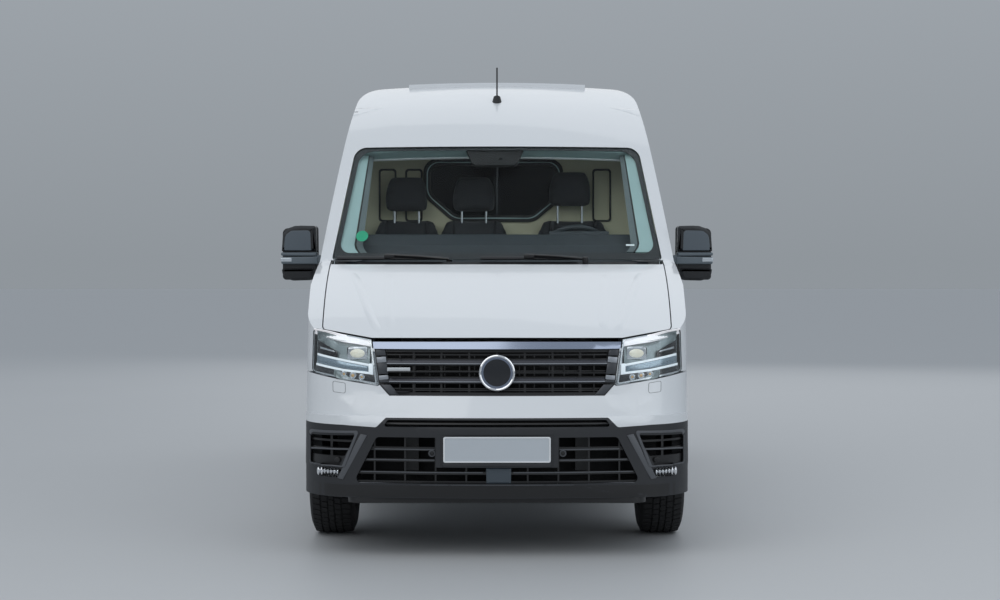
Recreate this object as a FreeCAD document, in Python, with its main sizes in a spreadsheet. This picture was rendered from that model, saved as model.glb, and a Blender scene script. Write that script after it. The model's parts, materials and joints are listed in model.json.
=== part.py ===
import FreeCAD, Part
import Sketcher
import math
import os
import re
from functools import lru_cache
from FreeCAD import Rotation, Vector

# Panel van, millimetres. X to the van's own left, Y to the rear, Z up.
# The origin is on the ground, midway between the bumpers and the sides.
# In all sizes "back" is the distance behind the front bumper and "up" the height over the ground.

# Driving dimensions: alias, value, meaning
SIZES = (
    ("length", 5986, "overall length over the bumpers"),
    ("half_width", 1012, "centre plane to the skin of the side"),
    ("roof_height", 2584, "ground to the roof's skin"),
    ("roof_rib", 6, "how far the roof's ribs stand up"),
    ("ground_clearance", 300, "ground to the lower edge of the body"),
    ("side_radius", 19000, "curve of the sides over the belt"),
    ("waist_low", 800, "height over which the sides stand upright"),
    ("waist_high", 950, "height at which the sides begin to lean in"),
    ("belt_up", 1300, "height of the belt, where the sides' curve starts"),
    ("belt_tuck", 25, "how far the belt stands in from the widest place"),
    ("sill_tuck", 28, "how far the sides draw in at the sill"),
    ("roof_crown", 12000, "radius of the roof across the van"),
    ("roof_corner", 140, "radius between roof and side"),
    ("side_low", 420, "height of the side walls' lower edge"),
    ("wall", 60, "thickness of doors and side walls"),
    ("roof_wall", 35, "thickness of the roof"),
    ("nose_wall", 45, "thickness of front pieces, measured to the rear"),
    ("turn_back", 4500, "back place of the upright axis of the front's curve"),
    ("nose_corner", 330, "radius of the nose corners seen from above"),
    ("nose_taper", 62, "how far the flanks draw in towards the nose"),
    ("taper_back", 1150, "back place where the flanks begin to draw in"),
    ("bonnet_front_back", 150, "back place of the bonnet's front edge"),
    ("bonnet_front_up", 1078, "height of the bonnet's front edge"),
    ("bonnet_bulge", 38, "rise of the bonnet's curve over its chord"),
    ("screen_foot_back", 1120, "back place of the windscreen's foot"),
    ("screen_foot_up", 1456, "height of the windscreen's foot"),
    ("screen_head_back", 1950, "back place of the windscreen's head"),
    ("screen_head_up", 2120, "height of the windscreen's head"),
    ("body_rear", 5935, "back place of the rear doors' skin"),
    ("front_axle_back", 1001, "back place of the front axle"),
    ("wheelbase", 3640, "front axle to rear axle"),
    ("track", 1737, "between the middle planes of a pair of wheels"),
    ("tyre_radius", 356, "axle height and outside radius of the tyre"),
    ("tyre_width", 235, "width of the tyre"),
    ("rim_radius", 205, "radius of the rim's seat"),
    ("rim_width", 190, "width of the rim"),
    ("arch_radius", 430, "radius of a wheel arch"),
    ("arch_up", 372, "height of the wheel arch's centre"),
    ("arch_lip", 40, "width of the flare round an arch"),
    ("flare", 8, "how far a flare stands out of the side"),
    ("arch_inner", 540, "centre plane to the front wheelhouse"),
    ("hub_face", 52, "middle plane of a wheel to the hub's face"),
    ("stub_radius", 30, "radius of the stub axles"),
    ("disc_radius", 148, "radius of the brake discs"),
    ("post_radius", 22, "radius of the steering posts"),
    ("post_reach", 131, "half the height of a steering post"),
    ("rail_place", 385, "centre plane to the inner side of a rail"),
    ("rail_width", 70, "width of a chassis rail"),
    ("rail_depth", 100, "depth of a chassis rail"),
    ("gap", 6, "shut gap round fixed panels"),
    ("door_gap", 8, "shut gap round doors that move"),
    ("kingpin", 790, "centre plane to the steering axis"),
    ("floor_up", 600, "height of the load floor"),
    ("floor_wall", 40, "thickness of the floor"),
    ("bulkhead_back", 2490, "back place of the bulkhead"),
    ("door_front", 1150, "back place of the front door's front edge"),
    ("door_rear", 2400, "back place of the front door's rear edge"),
    ("door_low", 545, "height of the front door's lower edge"),
    ("slide_front", 2470, "back place of the sliding door's front edge"),
    ("slide_rear", 3790, "back place of the sliding door's rear edge"),
    ("rear_door_low", 655, "height of the rear doors' lower edge"),
    ("rear_door_high", 2430, "height of the rear doors' upper edge"),
    ("rear_door_edge", 888, "centre plane to the rear doors' outer edge"),
    ("side_axis", 1012, "centre plane to the front doors' hinge axis"),
    ("rear_axis", 906, "centre plane to the rear doors' hinge axis"),
    ("rear_axis_proud", 12, "hinge axis behind the rear doors' skin"),
    ("lid_axis_back", 1225, "back place of the bonnet's hinge axis"),
    ("lid_axis_up", 1411, "height of the bonnet's hinge axis"),
    ("pin_radius", 7, "radius of a hinge barrel"),
    ("run", 0.3, "running gap at pins, hubs and seats"),
)

doc = FreeCAD.newDocument("panel_van")
sheet = doc.addObject("Spreadsheet::Sheet", "Sizes")
for row, (alias, amount, meaning) in enumerate(SIZES, 1):
    sheet.set(f"A{row}", meaning)
    sheet.set(f"B{row}", str(amount))
    sheet.setAlias(f"B{row}", alias)
doc.recompute()
size = {alias: float(sheet.get(alias)) for alias, amount, meaning in SIZES}

FRONT = -size["length"] / 2
WALL = size["wall"]
GAP = size["gap"]
RUN = size["run"]
HALF = size["half_width"]
LOW = size["ground_clearance"]
SIDE_LOW = size["side_low"]
REAR = size["body_rear"]
AXLES = (size["front_axle_back"], size["front_axle_back"] + size["wheelbase"])
FAR = 2 * HALF
PARTS = {}


def at(x, back, up):
    return Vector(x, FRONT + back, up)


def outline(points, place):
    """A flat face from corners of u, v and corner radius, set in space by place(u, v)."""
    ends = []
    count = len(points)
    for index, (u, v, radius) in enumerate(points):
        corner = Vector(u, v, 0)
        before = Vector(*points[index - 1][:2], 0)
        after = Vector(*points[(index + 1) % count][:2], 0)
        if not radius:
            ends.append((corner, None, corner))
            continue
        to_before = (before - corner).normalize()
        to_after = (after - corner).normalize()
        half = to_before.getAngle(to_after) / 2
        reach = radius / math.tan(half)
        middle = (to_before + to_after).normalize() * (radius / math.sin(half) - radius)
        ends.append((corner + to_before * reach, corner + middle, corner + to_after * reach))
    edges = []
    for index, (start, middle, end) in enumerate(ends):
        if middle:
            edges.append(Part.Arc(*[place(p.x, p.y) for p in (start, middle, end)]).toShape())
        follow = ends[(index + 1) % count][0]
        if (follow - end).Length > 0.001:
            edges.append(Part.LineSegment(place(end.x, end.y), place(follow.x, follow.y)).toShape())
    return Part.Face(Part.Wire(edges))


def grown(face, amount):
    return face.makeOffset2D(amount) if amount else face


def side_prism(points, low, high, grow=0):
    """A side outline of back, up and radius, from x = low to x = high."""
    face = outline(points, lambda back, up: at(low, back, up))
    return grown(face, grow).extrude(Vector(high - low, 0, 0))


def front_prism(points, start, end, grow=0):
    """A front outline of x, up and radius, from back = start to back = end."""
    face = outline(points, lambda x, up: at(x, start, up))
    return grown(face, grow).extrude(Vector(0, end - start, 0))


def plan_prism(points, low, high, lean=0):
    """A plan outline of x, back and radius, from up = low to up = high, leaning to the rear."""
    face = outline(points, lambda x, back: at(x, back, low))
    return face.extrude(Vector(0, lean * (high - low), high - low))


def block(x, back, up):
    """A box from ranges of x, back and up."""
    return Part.makeBox(x[1] - x[0], back[1] - back[0], up[1] - up[0], at(x[0], back[0], up[0]))


def rod(start, end, radius):
    return Part.makeCylinder(radius, (end - start).Length, start, end - start)


def both(points):
    """Front outline corners of one half, given from the top middle down, mirrored to a whole."""
    return list(points) + [(-x, up, radius) for x, up, radius in reversed(points) if x]


def mirrored(shape):
    return shape.mirror(Vector(0, 0, 0), Vector(1, 0, 0))


def pair(shape):
    return Part.makeCompound([shape, mirrored(shape)])


def joined(shapes):
    result = shapes[0]
    if len(shapes) > 1:
        result = result.fuse(list(shapes[1:])).removeSplitter()
    return result


def feature(label, shape):
    """A document object whose shape is set in code from the sheet's sizes."""
    thing = doc.addObject("Part::Feature", label)
    thing.Shape = shape
    thing.Placement = FreeCAD.Placement()
    return thing


def keep(label, thing):
    """Name a finished object as a sub-part and put it on the list to write."""
    thing.Label = label
    PARTS[label] = thing
    return thing


def part(label, shape):
    return keep(label, feature(label, shape))


def bound(text):
    """A cell expression in which each alias is looked up in the sheet."""
    return re.sub(r"[a-z][a-z_]+", lambda found: "Sizes." + found.group(0), str(text))


def primitive(kind, name, base, rotation, sizes):
    """A primitive whose sizes and place (x, back, up) are bound to the sheet."""
    thing = doc.addObject("Part::" + kind, name)
    thing.Placement = FreeCAD.Placement(Vector(0, 0, 0), rotation)
    for key, text in sizes.items():
        thing.setExpression(key, bound(text))
    thing.setExpression("Placement.Base.x", bound(base[0]))
    thing.setExpression("Placement.Base.y", bound(f"{base[1]} - length / 2"))
    thing.setExpression("Placement.Base.z", bound(base[2]))
    return thing


def box(name, base, extent):
    return primitive("Box", name, base, Rotation(), dict(zip(("Length", "Width", "Height"), extent)))


ALONG = {"X": Rotation(Vector(0, 1, 0), 90), "Y": Rotation(Vector(1, 0, 0), -90), "Z": Rotation()}


def cylinder(name, base, axis, radius, length):
    return primitive("Cylinder", name, base, ALONG[axis], {"Radius": radius, "Height": length})


def fused(name, things):
    thing = doc.addObject("Part::MultiFuse", name)
    thing.Shapes = things
    return thing


def group(name, things):
    thing = doc.addObject("Part::Compound", name)
    thing.Links = things
    return thing


# Outer form of the body

def cross_section(inset, drop, start, end, low):
    """The van's front outline as a prism: leaning sides, round roof corners and a crowned roof."""
    width = HALF - inset
    waist_low, waist_high = size["waist_low"], size["waist_high"]
    lean = math.atan2(size["belt_tuck"], size["belt_up"] - waist_high)
    normal = Vector(math.cos(lean), math.sin(lean), 0)
    side_centre = Vector(HALF - size["belt_tuck"], size["belt_up"], 0) - normal * size["side_radius"]
    side_radius = size["side_radius"] - inset
    roof_centre = Vector(0, size["roof_height"] - size["roof_crown"], 0)
    roof_radius = size["roof_crown"] - drop
    corner = max(size["roof_corner"] - inset, size["roof_corner"] / 2)
    apart = roof_centre - side_centre
    along = apart.Length
    near = side_radius - corner
    far = roof_radius - corner
    step = (near * near - far * far + along * along) / (2 * along)
    rise = math.sqrt(near * near - step * step)
    unit = apart / along
    hub = side_centre + unit * step + Vector(-unit.y, unit.x, 0) * rise
    if hub.y < 0:
        hub = side_centre + unit * step - Vector(-unit.y, unit.x, 0) * rise
    side_end = side_centre + (hub - side_centre).normalize() * side_radius
    roof_end = roof_centre + (hub - roof_centre).normalize() * roof_radius
    bend = ((side_end + roof_end) / 2 - hub).normalize() * corner + hub
    half_turn = (math.asin((side_end.y - side_centre.y) / side_radius) + lean) / 2
    side_middle = side_centre + Vector(math.cos(half_turn), math.sin(half_turn), 0) * side_radius
    top = Vector(0, size["roof_height"] - drop, 0)
    belt = side_centre + normal * side_radius
    base = min(low, waist_low - GAP)
    tuck = size["sill_tuck"] * (waist_low - base) / (waist_low - LOW)
    sill = Vector(width - tuck, base, 0)
    flank = [sill, Vector(width, waist_low, 0), Vector(width, waist_high, 0), belt]

    def spot(point, hand=1):
        return at(point.x * hand, start, point.y)

    edges = [Part.LineSegment(spot(sill, -1), spot(sill))]
    for hand in (1, -1):
        for begin, finish in zip(flank, flank[1:]):
            edges.append(Part.LineSegment(spot(begin, hand), spot(finish, hand)))
        edges.append(Part.Arc(spot(belt, hand), spot(side_middle, hand), spot(side_end, hand)))
        edges.append(Part.Arc(spot(side_end, hand), spot(bend, hand), spot(roof_end, hand)))
    edges.append(Part.Arc(spot(roof_end), spot(top), spot(roof_end, -1)))
    wire = Part.Wire(Part.__sortEdges__([edge.toShape() for edge in edges]))
    solid = Part.Face(wire).extrude(Vector(0, end - start, 0))
    if low > base:
        solid = solid.common(block((-FAR, FAR), (start, end), (low, size["roof_height"] + 500)))
    return solid


# Bumper and grille in the middle plane: back and up, from the bumper's face to the bonnet
NOSE_LINE = ((0, 640), (22, 700), (62, 800), (92, 1026), (112, 1062))


def front_turn(low):
    """The side profile of bumper, bonnet, windscreen and roof front, turned about an upright axis."""
    turn = size["turn_back"]
    top = size["roof_height"] + 10
    foot = (size["screen_foot_back"], size["screen_foot_up"])
    head = (size["screen_head_back"], size["screen_head_up"])
    lip = (size["bonnet_front_back"], size["bonnet_front_up"])
    slope = math.atan2(head[1] - foot[1], head[0] - foot[0])
    radius = (top - head[1]) / (1 - math.cos(slope))
    centre = (head[0] + radius * math.sin(slope), top - radius)
    half_way = (centre[0] - radius * math.sin(slope / 2), centre[1] + radius * math.cos(slope / 2))
    chord = math.hypot(foot[0] - lip[0], foot[1] - lip[1])
    bonnet = (
        (lip[0] + foot[0]) / 2 - (foot[1] - lip[1]) / chord * size["bonnet_bulge"],
        (lip[1] + foot[1]) / 2 + (foot[0] - lip[0]) / chord * size["bonnet_bulge"],
    )
    face_line = [(turn, low), (14, low), (0, low + 80)] + list(NOSE_LINE) + [lip]
    edges = []
    for begin, finish in zip(face_line, face_line[1:]):
        edges.append(Part.LineSegment(at(0, *begin), at(0, *finish)))
    edges.append(Part.Arc(at(0, *lip), at(0, *bonnet), at(0, *foot)))
    edges.append(Part.LineSegment(at(0, *foot), at(0, *head)))
    edges.append(Part.Arc(at(0, *head), at(0, *half_way), at(0, centre[0], top)))
    edges.append(Part.LineSegment(at(0, centre[0], top), at(0, turn, top)))
    edges.append(Part.LineSegment(at(0, turn, top), at(0, turn, low)))
    face = Part.Face(Part.Wire([edge.toShape() for edge in edges]))
    return face.revolve(at(0, turn, 0), Vector(0, 0, 1), 360)


# Seen from above: how far the nose falls back from the middle to its corners, the radius where
# the flanks begin to draw in, and the places of the corners under and over the bumper's edge
NOSE_SLOPE = 0.153
TAPER_BEND = 4000
CORNER_LOW = 104
CORNER_HIGH = 126
CORNER_LEAN = 0.2
CORNER_SPLIT = 700


def nose_corners(inset, low, high, front, lean):
    """A block with the round nose corners, leaning to the rear with height."""
    side = HALF - inset
    tip = side - size["nose_taper"]
    half = [(tip, front, size["nose_corner"]), (side, size["taper_back"], TAPER_BEND)]
    half.append((side, size["length"] * 2, 0))
    other = [(-x, back, radius) for x, back, radius in reversed(half)]
    return plan_prism([(0, front - tip * NOSE_SLOPE, 0)] + half + other, low, high, lean)


@lru_cache(maxsize=None)
def envelope(inset, shift, drop, low):
    """The solid that the body's skin encloses: inset at the sides, shifted back and lowered."""
    turn = size["turn_back"]
    front = front_turn(low + drop)
    front.translate(Vector(0, shift, -drop))
    front = front.common(cross_section(inset, drop, -50, turn, low))
    lower = nose_corners(inset, low - 10, CORNER_SPLIT, CORNER_LOW + shift, 0)
    upper = nose_corners(inset, CORNER_SPLIT, size["roof_height"] + 100, CORNER_HIGH + shift, CORNER_LEAN)
    front = front.common(lower.fuse(upper))
    rear = cross_section(inset, drop, turn, REAR - inset, low)
    return front.fuse(rear).removeSplitter()


def arch(axle, radius, low, high):
    """A cylinder across the van round an arch's centre, from x = low to x = high."""
    return rod(at(low, axle, size["arch_up"]), at(high, axle, size["arch_up"]), radius)


@lru_cache(maxsize=None)
def nose(inset, shift, drop, low):
    """The part of the envelope ahead of the front axle and under the bonnet's crown."""
    return envelope(inset, shift, drop, low).common(block((-FAR, FAR), (-60, 760), (0, 1210)))


def layer(start, end):
    """A curved sheet that follows the nose, between two distances behind its face."""
    return nose(start / 3, start, 0, LOW).cut(nose(end / 3, end, 0, LOW - 50))


def nose_piece(sheet_shape, points, grow=0, reach=700):
    return sheet_shape.common(front_prism(points, -50, reach, grow))


def turned(back, reach):
    """A disc round the upright axis of the front's curve, out to a given back place."""
    radius = size["turn_back"] - back
    return Part.makeCylinder(radius, reach, at(0, size["turn_back"], 0), Vector(0, 0, 1))


def inside(start, end, low, high):
    """The space between the side walls, from back = start to end and up = low to high."""
    return cross_section(WALL + RUN, size["roof_wall"] + RUN, start, end, low).common(
        block((-FAR, FAR), (start, end), (low, high)))


# The line between the roof panel and what it stands on: back, up, corner radius
ROOF_SPLIT = (
    (1500, 2140, 0), (2300, 2175, 0), (2520, 2400, 0), (6200, 2400, 0), (6200, 2900, 0), (1500, 2900, 0),
)
PLAIN = envelope(0, 0, 0, LOW)
INNER = envelope(WALL, size["nose_wall"], size["roof_wall"], LOW - 50)
CAVITY = envelope(WALL + RUN, size["nose_wall"] + RUN, size["roof_wall"] + RUN, LOW - 50)
FLARE_ZONE = envelope(-size["flare"], 0, 0, LOW)
REAR_HOUSE = 690
FLARES = []
ARCHES = []
for axle in AXLES:
    outer = arch(axle, size["arch_radius"] + size["arch_lip"], HALF - WALL, HALF + size["flare"])
    outer = outer.common(block((0, FAR), (axle - 700, axle + 700), (LOW + 120, 1000))).common(FLARE_ZONE)
    FLARES += [outer, mirrored(outer)]
    inner_x = size["arch_inner"] if axle == AXLES[0] else REAR_HOUSE
    hole = arch(axle, size["arch_radius"], inner_x, FAR)
    ARCHES += [hole, mirrored(hole)]
OUTER = PLAIN.fuse(FLARES)
SHELL = OUTER.cut([INNER] + ARCHES)
ROOF_ZONE = side_prism(ROOF_SPLIT, -FAR, FAR)

# Outlines seen from the front, in x, up and corner radius, right half mirrored where both() is used
SCREEN = both([(0, 2128, 0), (838, 2128, 75), (910, 1462, 18), (0, 1462, 0)])
LID = both([(0, 1600, 0), (908, 1600, 0), (908, 1440, 0), (874, 1118, 20), (622, 1078, 0), (0, 1080, 0)])
LAMP = [(922, 1120, 18), (622, 1070, 4), (590, 850, 12), (926, 905, 24)]
GRILLE_HOLE = both([(0, 1026, 0), (560, 1026, 0), (607, 1026, 0), (583, 855, 0), (530, 797, 0), (0, 797, 0)])
STRIP = both([(0, 1062, 0), (614, 1060, 0), (609, 1026, 0), (0, 1026, 0)])
GREY_TOP = ((0, 692, 0), (545, 692, 14), (592, 645, 20), (760, 655, 0), (FAR, 668, 0))
PLATE_HOLDER = ((-275, 275), (-50, 10), (455, 612))
DOOR = (
    (size["door_front"], size["door_low"], 0), (size["door_front"], 1395, 30), (1370, 1470, 60),
    (2200, 2112, 50), (size["door_rear"], 2135, 60), (size["door_rear"], size["door_low"], 40),
)
DOOR_WINDOW = ((1468, 1405, 30), (2318, 1405, 60), (2318, 2058, 60), (2215, 2052, 60), (1468, 1482, 20))
SLIDE = (
    (size["slide_front"], 540, 40), (size["slide_rear"], 540, 40),
    (size["slide_rear"], 2370, 90), (size["slide_front"], 2370, 60),
)
REAR_EDGE = size["rear_door_edge"]
REAR_EDGE_BEND = 1420
REAR_DOOR = (
    (5, size["rear_door_low"], 8), (REAR_EDGE, size["rear_door_low"], 30), (REAR_EDGE, REAR_EDGE_BEND, 300),
    (REAR_EDGE - 120, size["rear_door_high"], 90), (5, size["rear_door_high"], 8),
)
REAR_HOLE = both([(0, 2420, 0), (742, 2420, 80), (776, 1900, 60), (776, 600, 50), (0, 600, 0)])


def roof_panel():
    shape = SHELL.common(ROOF_ZONE)
    ribs = []
    for index in range(9):
        middle = 2950 + index * 340
        rib = block((-560, 560), (middle, middle + 150), (0, 3000))
        rib = rib.common(cross_section(0, -size["roof_rib"], middle, middle + 150, 2400))
        ribs.append(rib.cut(cross_section(WALL, size["roof_wall"], middle - 1, middle + 151, 2300)))
    doorway = front_prism(REAR_DOOR, REAR - WALL - GAP, 6000, size["door_gap"])
    doorway = [doorway, mirrored(doorway), block((-100, 100), (5860, 6000), (2300, 2438))]
    return shape.fuse(ribs).cut(doorway).removeSplitter()


# Side walls and the sliding door: where the walls start and end, the shallow pressings, the lip's depth
WALL_FRONT = 2464
WALL_REAR = 5780
PRESS_DEPTH = 9
LIP_DEPTH = 25


def pressing(start, end):
    """A shallow pressing in the side's skin, where a window would be."""
    points = ((start, 1455, 60), (end, 1455, 60), (end, 2150, 80), (start, 2150, 80))
    skin = cross_section(-20, -20, 2400, 6000, LOW)
    skin = skin.cut(cross_section(PRESS_DEPTH, PRESS_DEPTH, 2300, 6100, LOW - 20))
    return skin.common(side_prism(points, 0, FAR))


def side_panel(with_door):
    zone = block((0, FAR), (WALL_FRONT, WALL_REAR), (SIDE_LOW, 2600)).cut(ROOF_ZONE)
    shape = SHELL.common(zone)
    if with_door:
        shape = shape.cut(side_prism(SLIDE, 0, FAR, GAP))
        presses = [pressing(3870, 4760)]
    else:
        presses = [pressing(2560, 3700), pressing(3790, 4760)]
    return shape.cut(presses + [pressing(4850, 5680)])


def sliding_door():
    skin = SHELL.common(side_prism(SLIDE, 0, FAR)).cut(pressing(2560, 3700))
    lip = SHELL.common(cross_section(LIP_DEPTH, LIP_DEPTH, 2300, 6100, LOW - 20))
    lip = lip.common(side_prism(SLIDE, 0, FAR, GAP))
    return skin.fuse(lip).removeSplitter()


# Tail lamps seen from the rear, and the heights and half height of the doors' hinges
TAIL_LAMP = ((922, 960, 14), (998, 960, 14), (966, 1400, 14), (908, 1400, 14))
REAR_HINGES = (830, 1480, 1900)
DOOR_HINGES = (850, 1080)
HINGE = 30


def rear_frame():
    solid = cross_section(0, 0, WALL_REAR, REAR, SIDE_LOW).cut(ROOF_ZONE)
    solid = solid.cut(front_prism(REAR_HOLE, 5700, 6000))
    pocket = front_prism(REAR_DOOR, REAR - WALL - GAP, 6000, size["door_gap"])
    lamps = front_prism(TAIL_LAMP, 5900 - RUN, 6000, RUN)
    middle = block((-100, 100), (5860, 6000), (647, 2438))
    solid = solid.cut([pocket, mirrored(pocket), middle, lamps, mirrored(lamps)])
    arms = []
    for up in REAR_HINGES:
        arms += rear_hinge(up, 1)
    return solid.fuse(arms + [mirrored(arm) for arm in arms]).removeSplitter()


def rear_hinge(up, hand):
    """An arm and a barrel of a rear hinge: hand 1 on the frame below, -1 on the door above."""
    x = size["rear_axis"]
    back = REAR + size["rear_axis_proud"]
    low, high = (up - HINGE, up - RUN / 2) if hand > 0 else (up + RUN / 2, up + HINGE)
    edge = size["rear_door_edge"] - max(up - REAR_EDGE_BEND, 0) * 0.12 - GAP
    reach = x - edge + 60
    ends = sorted((x, x + hand * reach))
    if hand > 0:
        ends[1] = x + (46 if up < 1600 else 22)
    arm = block(ends, (back - 6, back), (low, high))
    foot_range = (x + 10, ends[1]) if hand > 0 else (ends[0], edge - HINGE)
    foot = block(foot_range, (REAR - 4, back), (low, high))
    return [arm, foot, rod(at(x, back, low), at(x, back, high), size["pin_radius"])]


def side_hinge(up, hand):
    """An arm and a barrel of a front door hinge: hand 1 on the wing below, -1 on the door above."""
    x = size["side_axis"]
    back = size["door_front"] - size["door_gap"] / 2
    low, high = (up - HINGE, up - RUN / 2) if hand > 0 else (up + RUN / 2, up + HINGE)
    ends = sorted((back, back - hand * 30))
    arm = block((x - 24, x), ends, (low, high))
    return [arm, rod(at(x, back, low), at(x, back, high), size["pin_radius"])]


def hinge_pocket(up):
    x = size["side_axis"]
    back = size["door_front"] - size["door_gap"] / 2
    reach = HINGE + GAP
    return rod(at(x, back, up - reach), at(x, back, up + reach), size["pin_radius"] + GAP)


def rear_door():
    depth = REAR - WALL
    skin = front_prism(REAR_DOOR, REAR - 22, REAR)
    inner = front_prism(REAR_DOOR, depth, REAR - 22, -14)
    press = front_prism(((110, 1480, 50), (740, 1480, 50), (700, 2200, 70), (110, 2200, 70)), REAR - 8, 6000)
    low_press = ((110, 800, 50), (790, 800, 50), (790, 1300, 50), (110, 1300, 50))
    low_press = front_prism(low_press, REAR - 6, 6000)
    handle = front_prism(((30, 1010, 12), (190, 1010, 12), (190, 1060, 12), (30, 1060, 12)), 5925, 5962)
    arms = []
    for up in REAR_HINGES:
        arms += rear_hinge(up, -1)
    return skin.fuse([inner]).cut([press, low_press]).fuse([handle] + arms).removeSplitter()


def door_shell():
    near = PLAIN.cut(INNER).common(side_prism(DOOR, 0, FAR))
    edge = cross_section(24, 24, 1000, 2600, LOW - 20).common(
        side_prism(DOOR, 0, FAR, 2).cut(side_prism(DOOR, 0, FAR, -14)))
    clear = arch(AXLES[0], size["arch_radius"] + size["arch_lip"] + size["door_gap"], 0, FAR)
    pillar = block((0, 916), (1100, 1320), (500, 1466))
    shape = near.cut([edge, clear, pillar, side_prism(DOOR_WINDOW, 0, FAR)])
    handle_skin = cross_section(-18, 0, 2180, 2350, LOW).cut(cross_section(5, 5, 2100, 2400, LOW - 20))
    handle = handle_skin.common(side_prism(
        ((2190, 1190, 14), (2350, 1190, 14), (2350, 1232, 14), (2190, 1232, 14)), 0, FAR))
    shape = shape.cut([hinge_pocket(up) for up in DOOR_HINGES])
    arms = []
    for up in DOOR_HINGES:
        arms += side_hinge(up, -1)
    return shape.fuse([handle] + arms).removeSplitter()


def door_glass():
    pane = cross_section(14, 14, 1300, 2500, 1000).cut(cross_section(19, 19, 1200, 2600, 900))
    return pane.common(side_prism(DOOR_WINDOW, 0, FAR, -RUN))


def cab_frame():
    zone = block((-FAR, FAR), (1142, 2464), (420, 2600)).cut(ROOF_ZONE)
    shape = SHELL.common(zone)
    aperture = side_prism(DOOR, -FAR, FAR, size["door_gap"])
    foot = block((-914, 914), (900, 1300), (300, 1462))
    return shape.cut([aperture, front_prism(SCREEN, 900, 2600), foot])


def windscreen():
    pane = PLAIN.cut(envelope(5, 8, 4, LOW - 50))
    return pane.common(front_prism(SCREEN, 1000, 2400, -RUN)).cut(ROOF_ZONE)


def wing():
    ahead = block((866, FAR), (0, 1142), (907, 1500))
    behind = block((866, FAR), (AXLES[0], 1142), (420, 1500))
    arms = [joined(side_hinge(up, 1)) for up in DOOR_HINGES]
    pockets = [hinge_pocket(up).cut(arms) for up in DOOR_HINGES]
    lamp = front_prism(LAMP, -50, 700, GAP / 2)
    shape = SHELL.common(ahead.fuse(behind)).fuse(arms)
    return shape.cut(pockets + [front_prism(LID, -50, 1300, GAP), lamp]).removeSplitter()


# The bonnet's hinges and the scuttle: centre plane to a hinge, and distances behind the bumper
LID_HINGE = 800
LID_REAR = 1050
SCUTTLE_FRONT = 1058
SCUTTLE_REAR = 1136


def bonnet():
    skin = PLAIN.cut(envelope(WALL / 2, 22, 30, LOW - 50))
    shape = skin.common(front_prism(LID, -50, 1400)).cut(turned(LID_REAR, 3000))
    back = size["lid_axis_back"]
    up = size["lid_axis_up"]
    pin = size["pin_radius"]
    arms = []
    for hand in (-1, 1):
        low, high = sorted((hand * (LID_HINGE + RUN / 2), hand * (LID_HINGE + 20)))
        arms.append(block((low, high), (back - 95, back), (up - pin, up + pin)))
        arms.append(rod(at(low, back, up), at(high, back, up), pin))
    return shape.fuse(arms).removeSplitter()


def scuttle():
    band = envelope(0, 0, 16, LOW).cut(envelope(0, 0, 30, LOW - 50))
    shape = band.common(block((-890, 890), (900, 1500), (1200, 1600)))
    shape = shape.common(turned(SCUTTLE_FRONT, 3000)).cut(turned(SCUTTLE_REAR, 3000))
    slots = [block((x - 32, x + 32), (900, 1252), (1345, 1500)) for x in (-LID_HINGE, LID_HINGE)]
    wall = turned(1122, 1431).cut(turned(1130, 1431)).common(block((-860, 860), (1000, 1290), (1335, 1431)))
    tray = CAVITY.common(block((-860, 860), (1100, 1300 - RUN), (1330, 1338)))
    shape = shape.cut(slots).fuse([wall.cut(slots), tray])
    back = size["lid_axis_back"]
    up = size["lid_axis_up"]
    posts = []
    for hand in (-1, 1):
        low, high = sorted((hand * (LID_HINGE - RUN / 2), hand * (LID_HINGE - 20)))
        posts.append(block((low, high), (back - 6, back + 6), (1335, up)))
        posts.append(rod(at(low, back, up), at(high, back, up), size["pin_radius"]))
    return shape.fuse(posts).removeSplitter()


def front_bumper():
    top = [(0, 900, 0), (500, 900, 0), (588, 843, 0), (926, 898, 0), (FAR, 901, 0)]
    foot = [(x, up + RUN, radius) for x, up, radius in reversed(GREY_TOP)]
    shape = SHELL.common(front_prism(both(top + foot), -50, AXLES[0]))
    shape = shape.cut(front_prism(GRILLE_HOLE, -50, 300))
    return shape.cut(block((-FAR, FAR), (620, 1400), (0, 640)))


# Openings of the lower bumper: the slot under the grille, the wide opening, a side vent, a fog lamp
SLOT = both([(0, 682, 0), (535, 682, 10), (560, 648, 10), (0, 648, 0)])
WIDE_OPENING = both([(0, 598, 0), (590, 598, 24), (705, 372, 24), (0, 372, 0)])
VENT = ((690, 606, 10), (930, 598, 16), (930, 452, 16), (776, 452, 10))
FOG = ((762, 440, 10), (896, 440, 10), (888, 395, 12), (775, 395, 12))


def lower_bumper():
    outlines = both(list(GREY_TOP) + [(FAR, LOW, 0), (0, LOW, 0)])
    shape = SHELL.common(front_prism(outlines, -50, 620))
    slot = front_prism(SLOT, -50, 300)
    main = front_prism(WIDE_OPENING, -50, 300)
    vent = front_prism(VENT, -50, 300)
    holder = block((-300, 300), (0, 40), (452, 616)).common(PLAIN)
    shape = shape.cut([slot, main, vent, mirrored(vent)]).fuse(holder)
    fog = front_prism(FOG, -50, 160)
    return shape.cut([block(*PLATE_HOLDER), fog, mirrored(fog)])


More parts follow.
